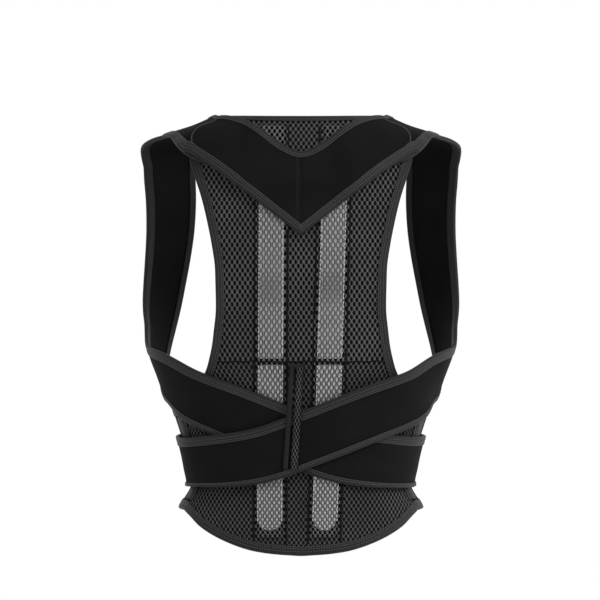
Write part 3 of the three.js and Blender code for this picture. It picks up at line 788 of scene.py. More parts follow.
def grown(piece, group, values):
    """Turns the piece into the plain mesh that a tree makes of it."""
    modifier = piece.modifiers.new(group.name, "NODES")
    modifier.node_group = group
    for item in group.interface.items_tree:
        if item.in_out == "INPUT" and item.name in values:
            modifier[item.identifier] = values[item.name]
    graph = bpy.context.evaluated_depsgraph_get()
    mesh = bpy.data.meshes.new_from_object(piece.evaluated_get(graph), depsgraph=graph)
    piece.modifiers.clear()
    piece.data = mesh
    mesh.name = piece.name
    mesh.polygons.foreach_set("use_smooth", np.ones(len(mesh.polygons), bool))
    if len(mesh.polygons) == 0:
        raise RuntimeError(f"{piece.name} came out empty")
    return piece


def chain_piece(name, chains):
    """A piece of bare edges along lines of points, with the direction straight out at each."""
    points, outs = joined(*chains)
    mesh = bpy.data.meshes.new(name)
    edges, first = [], 0
    for line, _ in chains:
        order = np.arange(first, first + len(line))
        edges += np.stack([order[:-1], order[1:]], axis=-1).tolist()
        first += len(line)
    mesh.from_pydata(points.tolist(), edges, [])
    store(mesh, "out", outs)
    return linked(name, mesh)


def helper(name, points, faces):
    """An object that a tree reads and that isn't shown."""
    piece = new_piece(name, points, faces, finish("net"))
    piece.hide_render = True
    return piece


def stitch_bead():
    """One stitch: a short six-sided bead of thread, flat underneath."""
    rings = ((-0.36, 0.42), (0, 0.5), (0.36, 0.42))
    angles = np.radians(np.arange(6) * 60)
    points = [(-0.5, 0, -0.2)]
    points += [(x, r * math.cos(a), r * math.sin(a)) for x, r in rings for a in angles]
    points.append((0.5, 0, -0.2))
    last = len(points) - 1
    faces = []
    for i in range(6):
        j = (i + 1) % 6
        faces += [(0, 1 + j, 1 + i), (last, last - 6 + i, last - 6 + j)]
        for ring in (1, 7):
            faces.append((ring + i, ring + j, ring + 6 + j, ring + 6 + i))
    return helper("stitch_bead", points, faces)


def sew(name, chains, slant=0.0, pitch=1.0, long=1.0, thick=1.0, thread="thread"):
    """Sews rows of stitches along chains, with sizes as shares of the usual ones."""
    stitch = bpy.context.scene.brace_stitches
    bead = stitch_bead()
    values = {
        "Bead": bead,
        "Pitch": stitch.pitch * pitch,
        "Size": (stitch.long * long, stitch.thick * 1.5 * thick, stitch.thick * thick),
        "Slant": slant,
        "Thread": finish(thread),
    }
    group = bpy.data.node_groups.get("stitches_on_lines") or stitch_tree()
    piece = grown(chain_piece(name, chains), group, values)
    bpy.data.objects.remove(bead)
    return piece


def chain(line, left, rise):
    """A row of points beside a line, with the direction out at each."""
    turn, z = line.aside(left)
    return off_skin(turn, z, line.stand + rise), slopes(turn, z)[2]


# Finishes


SOCKETS = {
    "roughness": "Roughness",
    "metallic": "Metallic",
    "sheen": "Sheen Weight",
    "sheen_rough": "Sheen Roughness",
    "specular": "Specular IOR Level",
}


def shade(colour, share):
    return tuple(min(1.0, channel * share) for channel in colour)


class Finish(Nodes):
    """A procedural material round one Principled shader."""

    def __init__(self, name, **constants):
        self.material = bpy.data.materials.new(name)
        self.material.use_nodes = True
        self.tree = self.material.node_tree
        self.shader = self.tree.nodes["Principled BSDF"]
        for label, value in constants.items():
            self.shader.inputs[SOCKETS[label]].default_value = value

    def where(self, kind="UV"):
        return self.add("ShaderNodeTexCoord").outputs[kind]

    def parts(self, where):
        return self.add("ShaderNodeSeparateXYZ", {0: where}).outputs

    def math(self, operation, a, b=0.0, c=0.0):
        return self.add("ShaderNodeMath", {0: a, 1: b, 2: c}, operation=operation).outputs[0]

    def mixed(self, *terms, total=0.0):
        """The sum of factors, each times its weight."""
        for factor, weight in terms:
            total = self.math("MULTIPLY_ADD", factor, weight, total)
        return total

    def waves(self, axis, pitch):
        """Waves of one pitch, from 0 to 1, over a coordinate."""
        sine = self.math("SINE", self.math("MULTIPLY", axis, 2 * math.pi / pitch))
        return self.math("MULTIPLY_ADD", sine, 0.5, 0.5)

    def noise(self, where, scale, detail=3.0, rough=0.55):
        links = {"Vector": where, "Scale": scale, "Detail": detail, "Roughness": rough}
        return self.add("ShaderNodeTexNoise", links).outputs["Fac"]

    def colour(self, factor, tone, dark, light, low=0.25, high=0.75):
        """A colour between two shares of a tone, by a factor between two values."""
        ramp = self.add("ShaderNodeValToRGB", {"Fac": factor})
        for element, place, share in zip(ramp.color_ramp.elements, (low, high), (dark, light)):
            element.position = place
            element.color = (*shade(tone, share), 1)
        self.link(ramp.outputs["Color"], self.shader.inputs["Base Color"])

    def bump(self, *heights):
        """Bumps laid one over another, each a factor and its height in metres."""
        normal = None
        for factor, height in heights:
            links = {"Height": factor, "Strength": 1.0, "Distance": height}
            if normal:
                links["Normal"] = normal
            normal = self.add("ShaderNodeBump", links).outputs["Normal"]
        self.link(normal, self.shader.inputs["Normal"])


def net_finish(name, tone):
    """Spun yarn, knitted in fine slanting loops, with painted shade that darkens it down in the holes."""
    f = Finish(name, roughness=0.7, sheen=0.04, sheen_rough=0.5, specular=0.16)
    where = f.where("Object")
    x, _, z = f.parts(where)
    loops = f.waves(f.mixed((x, 0.6), total=z), 0.9 * MM)
    grain, patches = f.noise(where, 900), f.noise(where, 22, 2)
    # Painted shade: the yarn's colour darkens with how far down into a hole it lies
    deep = f.add("ShaderNodeAttribute", attribute_name="deep").outputs["Fac"]
    mixed = f.mixed((deep, -0.55), (patches, 0.4), (grain, 0.4), total=0.3)
    f.colour(mixed, tone, 0.3, 1.75, 0.2, 0.85)
    f.bump((loops, 0.12 * MM), (grain, 0.2 * MM))


def lining_finish(name, tone):
    """Brushed lining, nearly black."""
    f = Finish(name, roughness=0.9, specular=0.06)
    grain = f.noise(f.where(), 700, 2)
    f.colour(grain, tone, 0.5, 1.6)
    f.bump((grain, 0.3 * MM))


def neoprene_finish(name, tone):
    """Close knit over thin foam: fine wales, a little pile and faint patches of wear."""
    f = Finish(name, roughness=0.8, sheen=0.008, sheen_rough=0.4, specular=0.05)
    where = f.where()
    across, run, _ = f.parts(where)
    wales = f.waves(across, 1.1 * MM)
    courses = f.waves(f.mixed((wales, 0.3 * MM), total=run), 0.85 * MM)
    knit = f.math("MULTIPLY", wales, courses)
    pile, patches = f.noise(where, 1500, 2), f.noise(where, 18, 4, 0.6)
    f.colour(f.mixed((patches, 0.65), (pile, 0.35)), tone, 0.6, 1.6, 0.3, 0.72)
    f.bump((patches, 0.9 * MM), (knit, 0.16 * MM), (pile, 0.2 * MM))


def tape_finish(name, tone):
    """Woven binding tape with lengthwise ribs and a slanting twill."""
    f = Finish(name, roughness=0.5, sheen=0.015, sheen_rough=0.4, specular=0.2)
    where = f.where()
    across, run, _ = f.parts(where)
    twill = f.waves(f.mixed((across, 1.3), total=run), 1.3 * MM)
    ribs = f.waves(across, 0.8 * MM)
    grain, patches = f.noise(where, 900, 2), f.noise(where, 60)
    f.colour(f.mixed((grain, 0.35), (twill, 0.45), (patches, 0.3)), tone, 0.5, 1.6, 0.25, 0.85)
    f.bump((twill, 0.22 * MM), (ribs, 0.08 * MM), (grain, 0.15 * MM))


def thread_finish(name, tone, rough=0.6):
    """Twisted sewing thread."""
    f = Finish(name, roughness=rough, specular=0.12)
    grain = f.noise(f.where("Object"), 1600, 2)
    f.colour(grain, tone, 0.6, 1.5)
    f.bump((grain, 0.1 * MM))


def stay_finish(name, tone):
    """Light satin strip with faint lengthwise brushing."""
    f = Finish(name, roughness=0.42, metallic=0.1, specular=0.4)
    where = f.where("Object")
    drawn = f.add("ShaderNodeMapping", {"Vector": where, "Scale": (1, 1, 0.05)}).outputs[0]
    brushed, patches = f.noise(drawn, 1200, 2), f.noise(where, 14, 2)
    f.colour(f.mixed((patches, 0.6), (brushed, 0.4)), tone, 0.8, 1.12)
    f.bump((brushed, 0.05 * MM))


# Each finish: what makes it, its material's name, its colour with the share of it, and its roughness
FINISHES = {
    "net": (net_finish, "net_yarn", "net", 1),
    # Painted shade: the lower stretch of the panel's net takes a darker copy of the net's yarn
    "low_net": (net_finish, "low_net_yarn", "net", 0.75),
    "upper_net": (net_finish, "upper_pocket_yarn", "upper_pocket", 1),
    "lower_net": (net_finish, "lower_pocket_yarn", "lower_pocket", 1),
    "keeper": (thread_finish, "keeper_cloth", "keeper", 1, 0.8),
    "lining": (lining_finish, "lining_knit", "lining", 1),
    "neoprene": (neoprene_finish, "neoprene_knit", "neoprene", 1),
    "tape": (tape_finish, "binding_tape", "tape", 1),
    "thread": (thread_finish, "sewing_thread", "thread", 1),
    # Painted highlight: a brighter copy of the upper stay's colour for the glints along the stays' edges
    "glint": (thread_finish, "glint_thread", "upper_stay", 1.4),
    "seam": (thread_finish, "seam_thread", "seam", 1, 0.85),
    "upper_stay": (stay_finish, "upper_stay_strip", "upper_stay", 1),
    "lower_stay": (stay_finish, "lower_stay_strip", "lower_stay", 1),
}


def finish(key):
    """A finish's material, made when it is first asked for."""
    make, name, tone, share, *rough = FINISHES[key]
    if name not in bpy.data.materials:
        make(name, shade(getattr(bpy.context.scene.brace_colours, tone), share), *rough)
    return bpy.data.materials[name]


# Net and lining


def arc_across(turn, z):
    """How far a place is from the back centre, measured round the body at its height."""
    shares = (np.arange(24) + 0.5) / 24
    at = turn[..., None] * shares
    by_turn = slopes(at, np.broadcast_to(z[..., None], at.shape))[0]
    return np.linalg.norm(by_turn, axis=-1).mean(axis=-1) * turn


def arc_down(z):
    """How far a height is from the shoulders, measured down the back centre in the net's own cells."""
    heights = np.linspace(*NET_HEIGHTS, 541)
    moves = np.linalg.norm(np.diff(skin(0 * heights, heights), axis=0), axis=1)
    closer = along(NET_CLOSER, "along", -heights[1:] / sizes().height)
    return np.interp(-z, -heights, np.append(0, np.cumsum(moves * closer)))


def flat_of(turn, z):
    """Where a place lies on the flat net."""
    closer = along(NET_CLOSER, "across", -z / sizes().height)
    return np.stack([arc_across(turn, z) * closer, -arc_down(z)], axis=-1)


# The panel's grid: the step between its rows down to the joint, the rows from there on, and its columns
PANEL_STEP, LOW_ROWS, PANEL_COLUMNS = 3.5 * MM, 40, 97

# The heights between which the panel and its net lie, with some to spare
NET_HEIGHTS = (0.02, -0.52)


def panel_places():
    """The panel's places, as a grid of rows from the neck to the hem."""
    side = smoothed(*panel_side(), PANEL_STEP)
    share = np.linspace(-1, 1, PANEL_COLUMNS)
    turns = [share * neck_turn()] + [share * t for t in side.turn]
    heights = [0 * share + height_of(NECK_DOWN)] + [0 * share + z for z in side.z]
    turn = share * sizes().joint_turn
    for part in np.linspace(0, 1, LOW_ROWS)[1:]:
        turns.append(turn)
        heights.append(side.z[-1] + (hem_height(turn) - side.z[-1]) * part)
    return np.array(turns), np.array(heights)


def bed(name, turn, z, stand, flat=None):
    """A sheet that a net is laid over, with its flat coordinates."""
    piece = helper(name, off_skin(turn, z, stand), grid_faces(*turn.shape))
    flat = flat_of(turn, z) if flat is None else flat
    store(piece.data, "flat", np.concatenate([flat, np.zeros((*turn.shape, 1))], axis=-1))
    store(piece.data, "out", slopes(turn, z)[2])
    return piece


def net_sizes():
    return bpy.context.scene.brace_net


def net_cell():
    """One cell of the net: the yarn round a hole, out to the middle of the strands beside it."""
    net = net_sizes()
    a, b = net.pitch_across / 2, net.pitch_along / 2
    tip, shoulder = (a * a + b * b) / (2 * b), (b * b - a * a) / (2 * b)
    quarter = [(0, tip), (a / 2, (tip + shoulder) / 2), (a, shoulder), (a, 0)]
    rim = quarter + [(x, -y) for x, y in quarter[2::-1]]
    rim += [(-x, y) for x, y in rim[5:0:-1]]
    rim = np.array(rim)
    angle = np.radians(np.arange(12) * 30)
    hole = np.stack([net.hole_across / 2 * np.sin(angle), net.hole_along / 2 * np.cos(angle)], axis=-1)
    rings = ((0, 0), (0.5, -0.2), (0.9, -0.62), (1, -1.1))
    points, faces = [], []
    for share, rise in rings:
        points += [(*(rim[i] + (hole[i] - rim[i]) * share), rise * net.depth) for i in range(12)]
    for ring in range(len(rings) - 1):
        for i in range(12):
            j, k = ring * 12 + i, ring * 12 + (i + 1) % 12
            faces.append((j, j + 12, k + 12, k))
    cell = helper("net_cell", points, faces)
    # Painted shade mask: each ring's share of the way down into the hole, which darkens the yarn there
    deep = cell.data.attributes.new("deep", "FLOAT", "POINT")
    deep.data.foreach_set("value", np.repeat([share for share, _ in rings], 12).astype(np.float32))
    return cell


def inside(points, outline, margin):
    """Which points lie inside an outline by at least a margin."""
    x, y = points[:, :1], points[:, 1:]
    a, b = outline, np.roll(outline, -1, axis=0)
    crossing = (a[:, 1] > y) != (b[:, 1] > y)
    with np.errstate(divide="ignore", invalid="ignore"):
        at = a[:, 0] + (y - a[:, 1]) * (b[:, 0] - a[:, 0]) / (b[:, 1] - a[:, 1])
    within = (crossing & (x < at)).sum(axis=1) % 2 == 1
    step = b - a
    squares = np.maximum((step**2).sum(axis=1), 1e-12)
    share = np.clip(((x - a[:, 0]) * step[:, 0] + (y - a[:, 1]) * step[:, 1]) / squares, 0, 1)
    away = np.hypot(x - a[:, 0] - share * step[:, 0], y - a[:, 1] - share * step[:, 1]).min(axis=1)
    return within & (away >= margin)


# The numbers of the net's columns and half-rows of cells, more than the panel needs
NET_COLUMNS, NET_ROWS = np.arange(-45, 46), np.arange(-140, 6)


def lattice():
    """The centres of all the net's cells, on the flat."""
    net = net_sizes()
    i, j = np.meshgrid(NET_COLUMNS, NET_ROWS, indexing="ij")
    x = (i + 0.5 * (j % 2)) * net.pitch_across
    return np.stack([x.ravel(), (j * net.pitch_along / 2).ravel()], axis=-1)


def merged(piece, other):
    """Adds another piece's mesh, with its finish, to a piece."""
    both = bmesh.new()
    both.from_mesh(piece.data)
    first = len(both.faces)
    both.from_mesh(other.data)
    both.faces.ensure_lookup_table()
    for face in both.faces[first:]:
        face.material_index = 1
    both.to_mesh(piece.data)
    both.free()
    piece.data.materials.append(other.data.materials[0])
    bpy.data.objects.remove(other)


# Two points of neighbouring cells closer than this are one
NET_JOIN = 0.15 * MM


def lay_net(name, centres, bed_piece, yarn="net"):
    """Lays a net with the given cells over a bed."""
    mesh = bpy.data.meshes.new(name)
    mesh.from_pydata(np.column_stack([centres, 0 * centres[:, 0]]).tolist(), [], [])
    piece, cell = linked(name, mesh), net_cell()
    values = {"Bed": bed_piece, "Cell": cell, "Join": NET_JOIN, "Yarn": finish(yarn)}
    grown(piece, bpy.data.node_groups.get("net_over_bed") or net_tree(), values)
    bpy.data.objects.remove(cell)
    return piece


# From a stay's centre line to its pocket's seams, and to the last cells of its cover
POCKET_HALF, COVER_HALF = 0.0178, 0.0152

# A stay's cover: how far it lies flat beside the stay, how wide its shoulders are, and its rows
COVER_FLAT, COVER_SHOULDER, COVER_ROWS = 3.4 * MM, 0.6 * MM, 80

# How far below a stay's upper end its glints start, and how far in from its edges they lie
GLINT_START, GLINT_INSET = 20 * MM, 0.5 * MM

# How far inside the panel's edge the net's outermost cells are centred
NET_MARGIN = 3.2 * MM


def pocket_share(centres):
    """Which cells lie on the left pocket's cover and which on the right one's."""
    z = np.linspace(0.01, -0.5, 120)
    down = -arc_down(z)[::-1]
    found = {}
    for side in STAYS:
        x = stay_x(side, z)
        flat = flat_of(turn_at(x, z), z)[:, 0][::-1]
        found[side] = np.abs(centres[:, 0] - np.interp(centres[:, 1], down, flat)) < COVER_HALF
    return found


class BRACE_OT_panel(bpy.types.Operator):
    """Makes the back panel: its lining and the two stretches of net over it"""

    bl_idname = "brace.panel"
    bl_label = "Back panel"

    def execute(self, context):
        s = sizes()
        turn, z = panel_places()
        flat = flat_of(turn, z)
        lining = wall("panel_lining", turn, z, 0 * z, 0 * z + s.lining_thick, flat, finish("lining"))
        dressed(lining, "net", "back_panel")
        outline = np.concatenate([flat[0], flat[1:, -1], flat[-1, ::-1], flat[:0:-1, 0]])
        centres = lattice()
        centres = centres[inside(centres, outline, NET_MARGIN)]
        covered = pocket_share(centres)
        covered = covered["left"] | covered["right"]
        low, high = -arc_down(height_of(POCKET_BOTTOM)), -arc_down(height_of(POCKET_TOP))
        covered &= (centres[:, 1] > low) & (centres[:, 1] < high)
        seam = -arc_down(height_of(s.seam_down))
        top = bed("panel_bed", turn, z, s.panel_thick + 0 * z)
        # The lower stretch of net gets the darker copy of the yarn, as painted shade
        for name, chosen, yarn in (
            ("panel_net_upper", centres[:, 1] > seam, "net"),
            ("panel_net_lower", centres[:, 1] < seam, "low_net"),
        ):
            dressed(lay_net(name, centres[chosen & ~covered], top, yarn), "net")
        bpy.data.objects.remove(top)
        return {"FINISHED"}


class BRACE_OT_pockets(bpy.types.Operator):
    """Makes the net covers of the stay pockets and finishes the stays in them"""

    bl_idname = "brace.pockets"
    bl_label = "Stay pockets"

    def execute(self, context):
        s, level = sizes(), levels()
        centres = lattice()
        covered = pocket_share(centres)
        ramp = s.stay_width / 2 + s.gap + level["pocket"] - level["stay"]
        columns = np.array([-ramp - COVER_FLAT, -ramp, COVER_SHOULDER - ramp, -0.75 * ramp, 0])
        columns = np.append(columns, -columns[-2::-1])
        rises = np.array([0, 0.15, 0.75, 1, 1, 1, 0.75, 0.15, 0])
        stand = level["stay"] + (level["pocket"] - level["stay"]) * rises + COVER_RISE
        parts = {"upper": (POCKET_TOP, s.seam_down), "lower": (s.seam_down, POCKET_BOTTOM)}
        for part, ends in parts.items():
            heights = np.linspace(*height_of(ends), COVER_ROWS)
            top, bottom = -arc_down(heights[0]), -arc_down(heights[-1])
            for side in STAYS:
                z = np.repeat(heights[:, None], len(columns), axis=1)
                turn = turn_at(stay_x(side, z) + columns, z)
                cover = bed(f"{part}_bed_{side}", turn, z, stand + 0 * z)
                chosen = covered[side] & (centres[:, 1] < top) & (centres[:, 1] > bottom)
                name = f"{part}_pocket_{side}"
                net = lay_net(f"{name}_net", centres[chosen], cover, yarn=f"{part}_net")
                dressed(net, "net", name)
                bpy.data.objects.remove(cover)
                self.glints(name, side, heights[2:-3])
                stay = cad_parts[f"{part}_stay_{side}"]
                stay.data.materials.clear()
                stay.data.materials.append(finish(f"{part}_stay"))
        return {"FINISHED"}

    def glints(self, name, side, heights):
        """Painted highlights: rows of bright beads along a stay's edges that stand for the glints of light
        there.
        """
        s = sizes()
        low = height_of(STAY_BOTTOM) + s.stay_width * 0.4
        heights = heights[(heights < height_of(STAY_TOP) - GLINT_START) & (heights > low)]
        rows = []
        for edge in (-1, 1):
            x = stay_x(side, heights) + edge * (s.stay_width / 2 - GLINT_INSET)
            line = Line(turn_at(x, heights), heights, levels()["pocket"] + COVER_RISE + 0.05 * MM)
            rows.append(chain(line, 0, 0))
        pitch = net_sizes().pitch_along / 2 / bpy.context.scene.brace_stitches.pitch
        dressed(sew(f"{name}_glints", rows, 0, pitch, 1, 1.3, thread="glint"), "net")


# Cloth pieces


# How far a knit piece's face lies inside the solid's at its edges, and how much higher where it is full
KNIT_SINK, KNIT_CROWN = 0.1 * MM, 0.38 * MM

# The section of the strip over a joint, from its middle to one edge, in millimetres
STRIP = table(
    "left rise", (0, 1.8), (2.5, 1.75), (5, 1.5), (6.6, 0.9), (7.6, 0.45), (9, 0.8), (10.6, 0.75), (11, 0.2)
)


def puff(share, edge):
    """How full the foam is across a piece, from 0 at its edges to 1, for shares from 0 to 1."""
    return smoothstep(np.minimum(share, 1 - share), 0, edge)


def knit_top(low, thick, full):
    """How far a knit piece's face stands off the skin."""
    return low + thick - KNIT_SINK + KNIT_CROWN * full


class BRACE_OT_belt(bpy.types.Operator):
    """Makes the two belt halves and the upright strips over their joints"""

    bl_idname = "brace.belt"
    bl_label = "Belt"

    def execute(self, context):
        thick = sizes().belt_thick
        share = np.linspace(0, 1, 33)
        for side, word in SIDES.items():
            top = smoothed(*belt_edge(side, WING["down"][-1], BELT_TOP))
            bottom = smoothed(*belt_edge(side, HEM["down"][-1], BELT_BOTTOM))
            count = min(len(top.turn), len(bottom.turn))
            edges = zip(top.evened(count), bottom.evened(count))
            turn, z, low = [a * (1 - share) + b * share for a, b in edges]
            full = puff(share, 0.09) * np.minimum(1, np.arange(count)[:, None] / 2)
            reach = float(top.reach[-1])
            uv = paired(share * (top.z[-1] - bottom.z[-1]), np.linspace(0, reach, count))
            high = knit_top(low, thick, full)
            belt = wall(f"belt_{word}_knit", turn, z, low, high, uv, finish("neoprene"))
            dressed(belt, "neoprene", f"belt_{word}")
            self.strip(side, word)
        return {"FINISHED"}

    def strip(self, side, word):
        """The ribbed strip over the joint of net and belt."""
        s = sizes()
        top, bottom = height_of([WING["down"][-1], HEM["down"][-1]])
        clear = s.tape_width + 2 * s.gap
        z = np.linspace(top - clear, bottom + clear, 40)
        line = Line(side * s.joint_turn + 0 * z, z, levels()["channel"])
        left, rise = STRIP["left"], STRIP["rise"]
        lefts = np.concatenate([-left[:0:-1], left, [left[-1], 0, -left[-1]]]) * MM
        rises = np.concatenate([rise[:0:-1], rise, [0, 0, 0]]) * MM
        strip = sweep(f"channel_{word}_tape", line, lefts, rises, finish("tape"))
        dressed(strip, "tape", f"channel_{word}")


class BRACE_OT_straps(bpy.types.Operator):
    """Makes the two shoulder straps, which cross behind the waist"""

    bl_idname = "brace.straps"
    bl_label = "Shoulder straps"

    def execute(self, context):
        s = sizes()
        share = np.linspace(0, 1, 17)
        lefts = (share - 0.5) * s.strap_width
        for side, word in SIDES.items():
            line = strap_line(side)
            turn, z = line.grid(lefts)
            low = line.stand[:, None] + 0 * z
            high = knit_top(low, s.strap_thick, puff(share, 0.16))
            uv = paired(lefts, line.reach)
            strap = wall(f"strap_{word}_knit", turn, z, low, high, uv, finish("neoprene"))
            dressed(strap, "neoprene", f"strap_{word}")
        return {"FINISHED"}


def yoke_places(side, u, share):
    """The places of one half of the yoke, out from the centre seam and up from its lower edge."""
    edges = [[column[:, None] for column in yoke_half(side, low, u)] for low in (True, False)]
    turn, z, stand = [a + (b - a) * share for a, b in zip(*edges)]
    low, top = [skin(edge[0], edge[1]) for edge in edges]
    columns = {**YOKE, "i": np.arange(len(YOKE["low"]))}
    bulge = np.maximum(0, along(columns, "bulge", u, "i"))[:, None] * sizes().strap_width
    reach = bulge * np.maximum(0, 1 - (3 * share - 1.5) ** 2)
    outwards = np.cross(np.broadcast_to(top - low, (*turn.shape, 3)), slopes(turn, z)[2])
    return *walk(turn, z, outwards * side, reach), stand


# How deep the crease up the yoke's middle is, how many rows wide, and how far its ends sink
CREASE_DEEP, CREASE_ROWS, END_SINK = 0.9 * MM, 1.2, 0.7 * MM


class BRACE_OT_yoke(bpy.types.Operator):
    """Makes the V-shaped yoke between the shoulder straps, with the seam up its middle"""

    bl_idname = "brace.yoke"
    bl_label = "Yoke"

    def execute(self, context):
        last = len(YOKE["low"]) - 1
        u = np.linspace(0, last, 64)
        share = np.linspace(0, 1, 33)
        halves = [yoke_places(side, u, share) for side in SIDES]
        turn, z, low = [np.concatenate([a[:0:-1], b]) for a, b in zip(*halves)]
        row = np.arange(len(turn))[:, None]
        crease = np.exp(-np.abs(row - (len(u) - 1)) / CREASE_ROWS)
        ends = smoothstep(np.minimum(row, row[::-1]), 0, 4)
        high = knit_top(low, sizes().strap_thick, puff(share, 0.1)) - CREASE_DEEP * crease
        high -= END_SINK * (1 - ends)
        points = off_skin(turn, z, high)
        rise = share * np.linalg.norm(points[:, -1] - points[:, 0], axis=1)[:, None]
        uv = np.stack([rise, reach_of(points[:, 16])[:, None] + 0 * rise], axis=-1)
        yoke = wall("yoke_knit", turn, z, low, high, uv, finish("neoprene"))
        dressed(yoke, "neoprene", "yoke")
        self.end_rows(last)
        return {"FINISHED"}

    def end_rows(self, last):
        """Sews the yoke's two rounded ends down to the straps."""
        chains = []
        share = np.linspace(0.1, 0.93, 26)
        u = last - 0.3 - 0.5 * np.abs(2 * share - 1) ** 3
        for side in SIDES:
            spots = [yoke_places(side, np.array([a]), np.array([b])) for a, b in zip(u, share)]
            places = np.array(spots).reshape(len(spots), 3).T
            chains.append(chain(Line(*places), 0, sizes().strap_thick + 0.3 * MM))
        dressed(sew("yoke_end_stitches", chains, 0, 0.9, 1.2, 1.4), "neoprene")


# Tape and thread


# Half the height of a tape's rib, how far the ribs' feet lie inside the solid's face, and how far the tape's
# first rib lies from the fold
RIB_HALF, RIB_SINK, FOLD_END = 0.13 * MM, 0.12 * MM, 0.4 * MM


def tape_section(thick, width, ribs):
    """The section of ribbed tape folded round an edge: insets from the edge and rises."""
    s = sizes()
    t, gap, beyond = s.tape_thick, s.gap, s.tape_thick + s.gap
    top = np.linspace(width, FOLD_END, 6 * ribs + 1)
    rib = RIB_HALF * (1 - np.cos(2 * math.pi * np.linspace(0, ribs, len(top))))
    high = thick + gap + t - RIB_SINK
    arc = np.radians(np.linspace(75, -75, 7))
    middle, radius = thick / 2, thick / 2 + gap + t - 0.1 * MM
    fold_in = -beyond * np.cos(arc)
    fold_up = middle + radius * np.sin(arc)
    under = np.linspace(FOLD_END, width, 7)
    insets = [width, *top, *fold_in, *under, width, 0.2 * MM, -gap, -gap, 0.2 * MM]
    rises = [thick + gap, *(high + rib), *fold_up, *(0 * under - beyond + 0.08 * MM)]
    rises += [-gap, -gap, 0.3 * thick, 0.7 * thick, thick + gap]
    return np.array(insets), np.array(rises)


def bindings():
    """Each binding by name: its line, the side the cloth lies on, the edge's place, thickness and tape."""
    s = sizes()
    panel, strap_thick, wide, narrow = s.panel_thick, s.strap_thick, s.tape_width, s.narrow_tape
    found = {
        "neck_binding": (neck_line(), -1, 0, panel, narrow, 2),
        "hem_binding": (hem_line(), 1, 0, panel, wide, 3),
        "yoke_lower_binding": (yoke_tape_line(), 1, 0, strap_thick, wide - 0.6 * MM, 3),
        "yoke_upper_binding": (yoke_line(False), -1, 0, strap_thick, narrow + 0.5 * MM, 2),
    }
    for side, word in SIDES.items():
        strap, edge = strap_line(side), side * s.strap_width / 2
        found[f"side_binding_{word}"] = (side_line(side), -side, 0, panel, wide, 3)
        found[f"strap_upper_binding_{word}"] = (strap, -side, edge, strap_thick, narrow, 2)
        found[f"strap_lower_binding_{word}"] = (strap, side, -edge, strap_thick, wide, 3)
    return found


# From the tape's free edge to the row of stitches beside it, and the thickness of its stitches as a share
STITCH_INSET, TAPE_STITCH = 0.9 * MM, 1.25


class BRACE_OT_bindings(bpy.types.Operator):
    """Folds ribbed tape round every edge and sews it down"""

    bl_idname = "brace.bindings"
    bl_label = "Bindings"

    def execute(self, context):
        s = sizes()
        for name, (line, inwards, edge, thick, width, ribs) in bindings().items():
            insets, rises = tape_section(thick, width, ribs)
            tape = sweep(f"{name}_tape", line, edge + inwards * insets, rises, finish("tape"))
            dressed(tape, "tape", name)
            top = thick + s.gap + s.tape_thick - 0.05 * MM
            rows = [width - width / ribs * k for k in range(1, ribs)] + [width - STITCH_INSET]
            chains = [chain(line, edge + inwards * inset, top) for inset in rows]
            dressed(sew(f"{name}_stitches", chains, thick=TAPE_STITCH), "tape")
        return {"FINISHED"}


def seam_section(width, high):
    """A low half-round section."""
    angle = np.radians(np.linspace(0, 180, 7))
    lefts = np.append(width / 2 * np.cos(angle), 0)
    rises = np.append(high * np.sin(angle), -0.2 * MM)
    return lefts, rises


# The width and height of the seam across the panel and of a pocket's seam, and how far they sink in
PANEL_SEAM, POCKET_SEAM, SEAM_SINK = (1.7 * MM, 0.75 * MM), (2.4 * MM, 0.8 * MM), 0.3 * MM


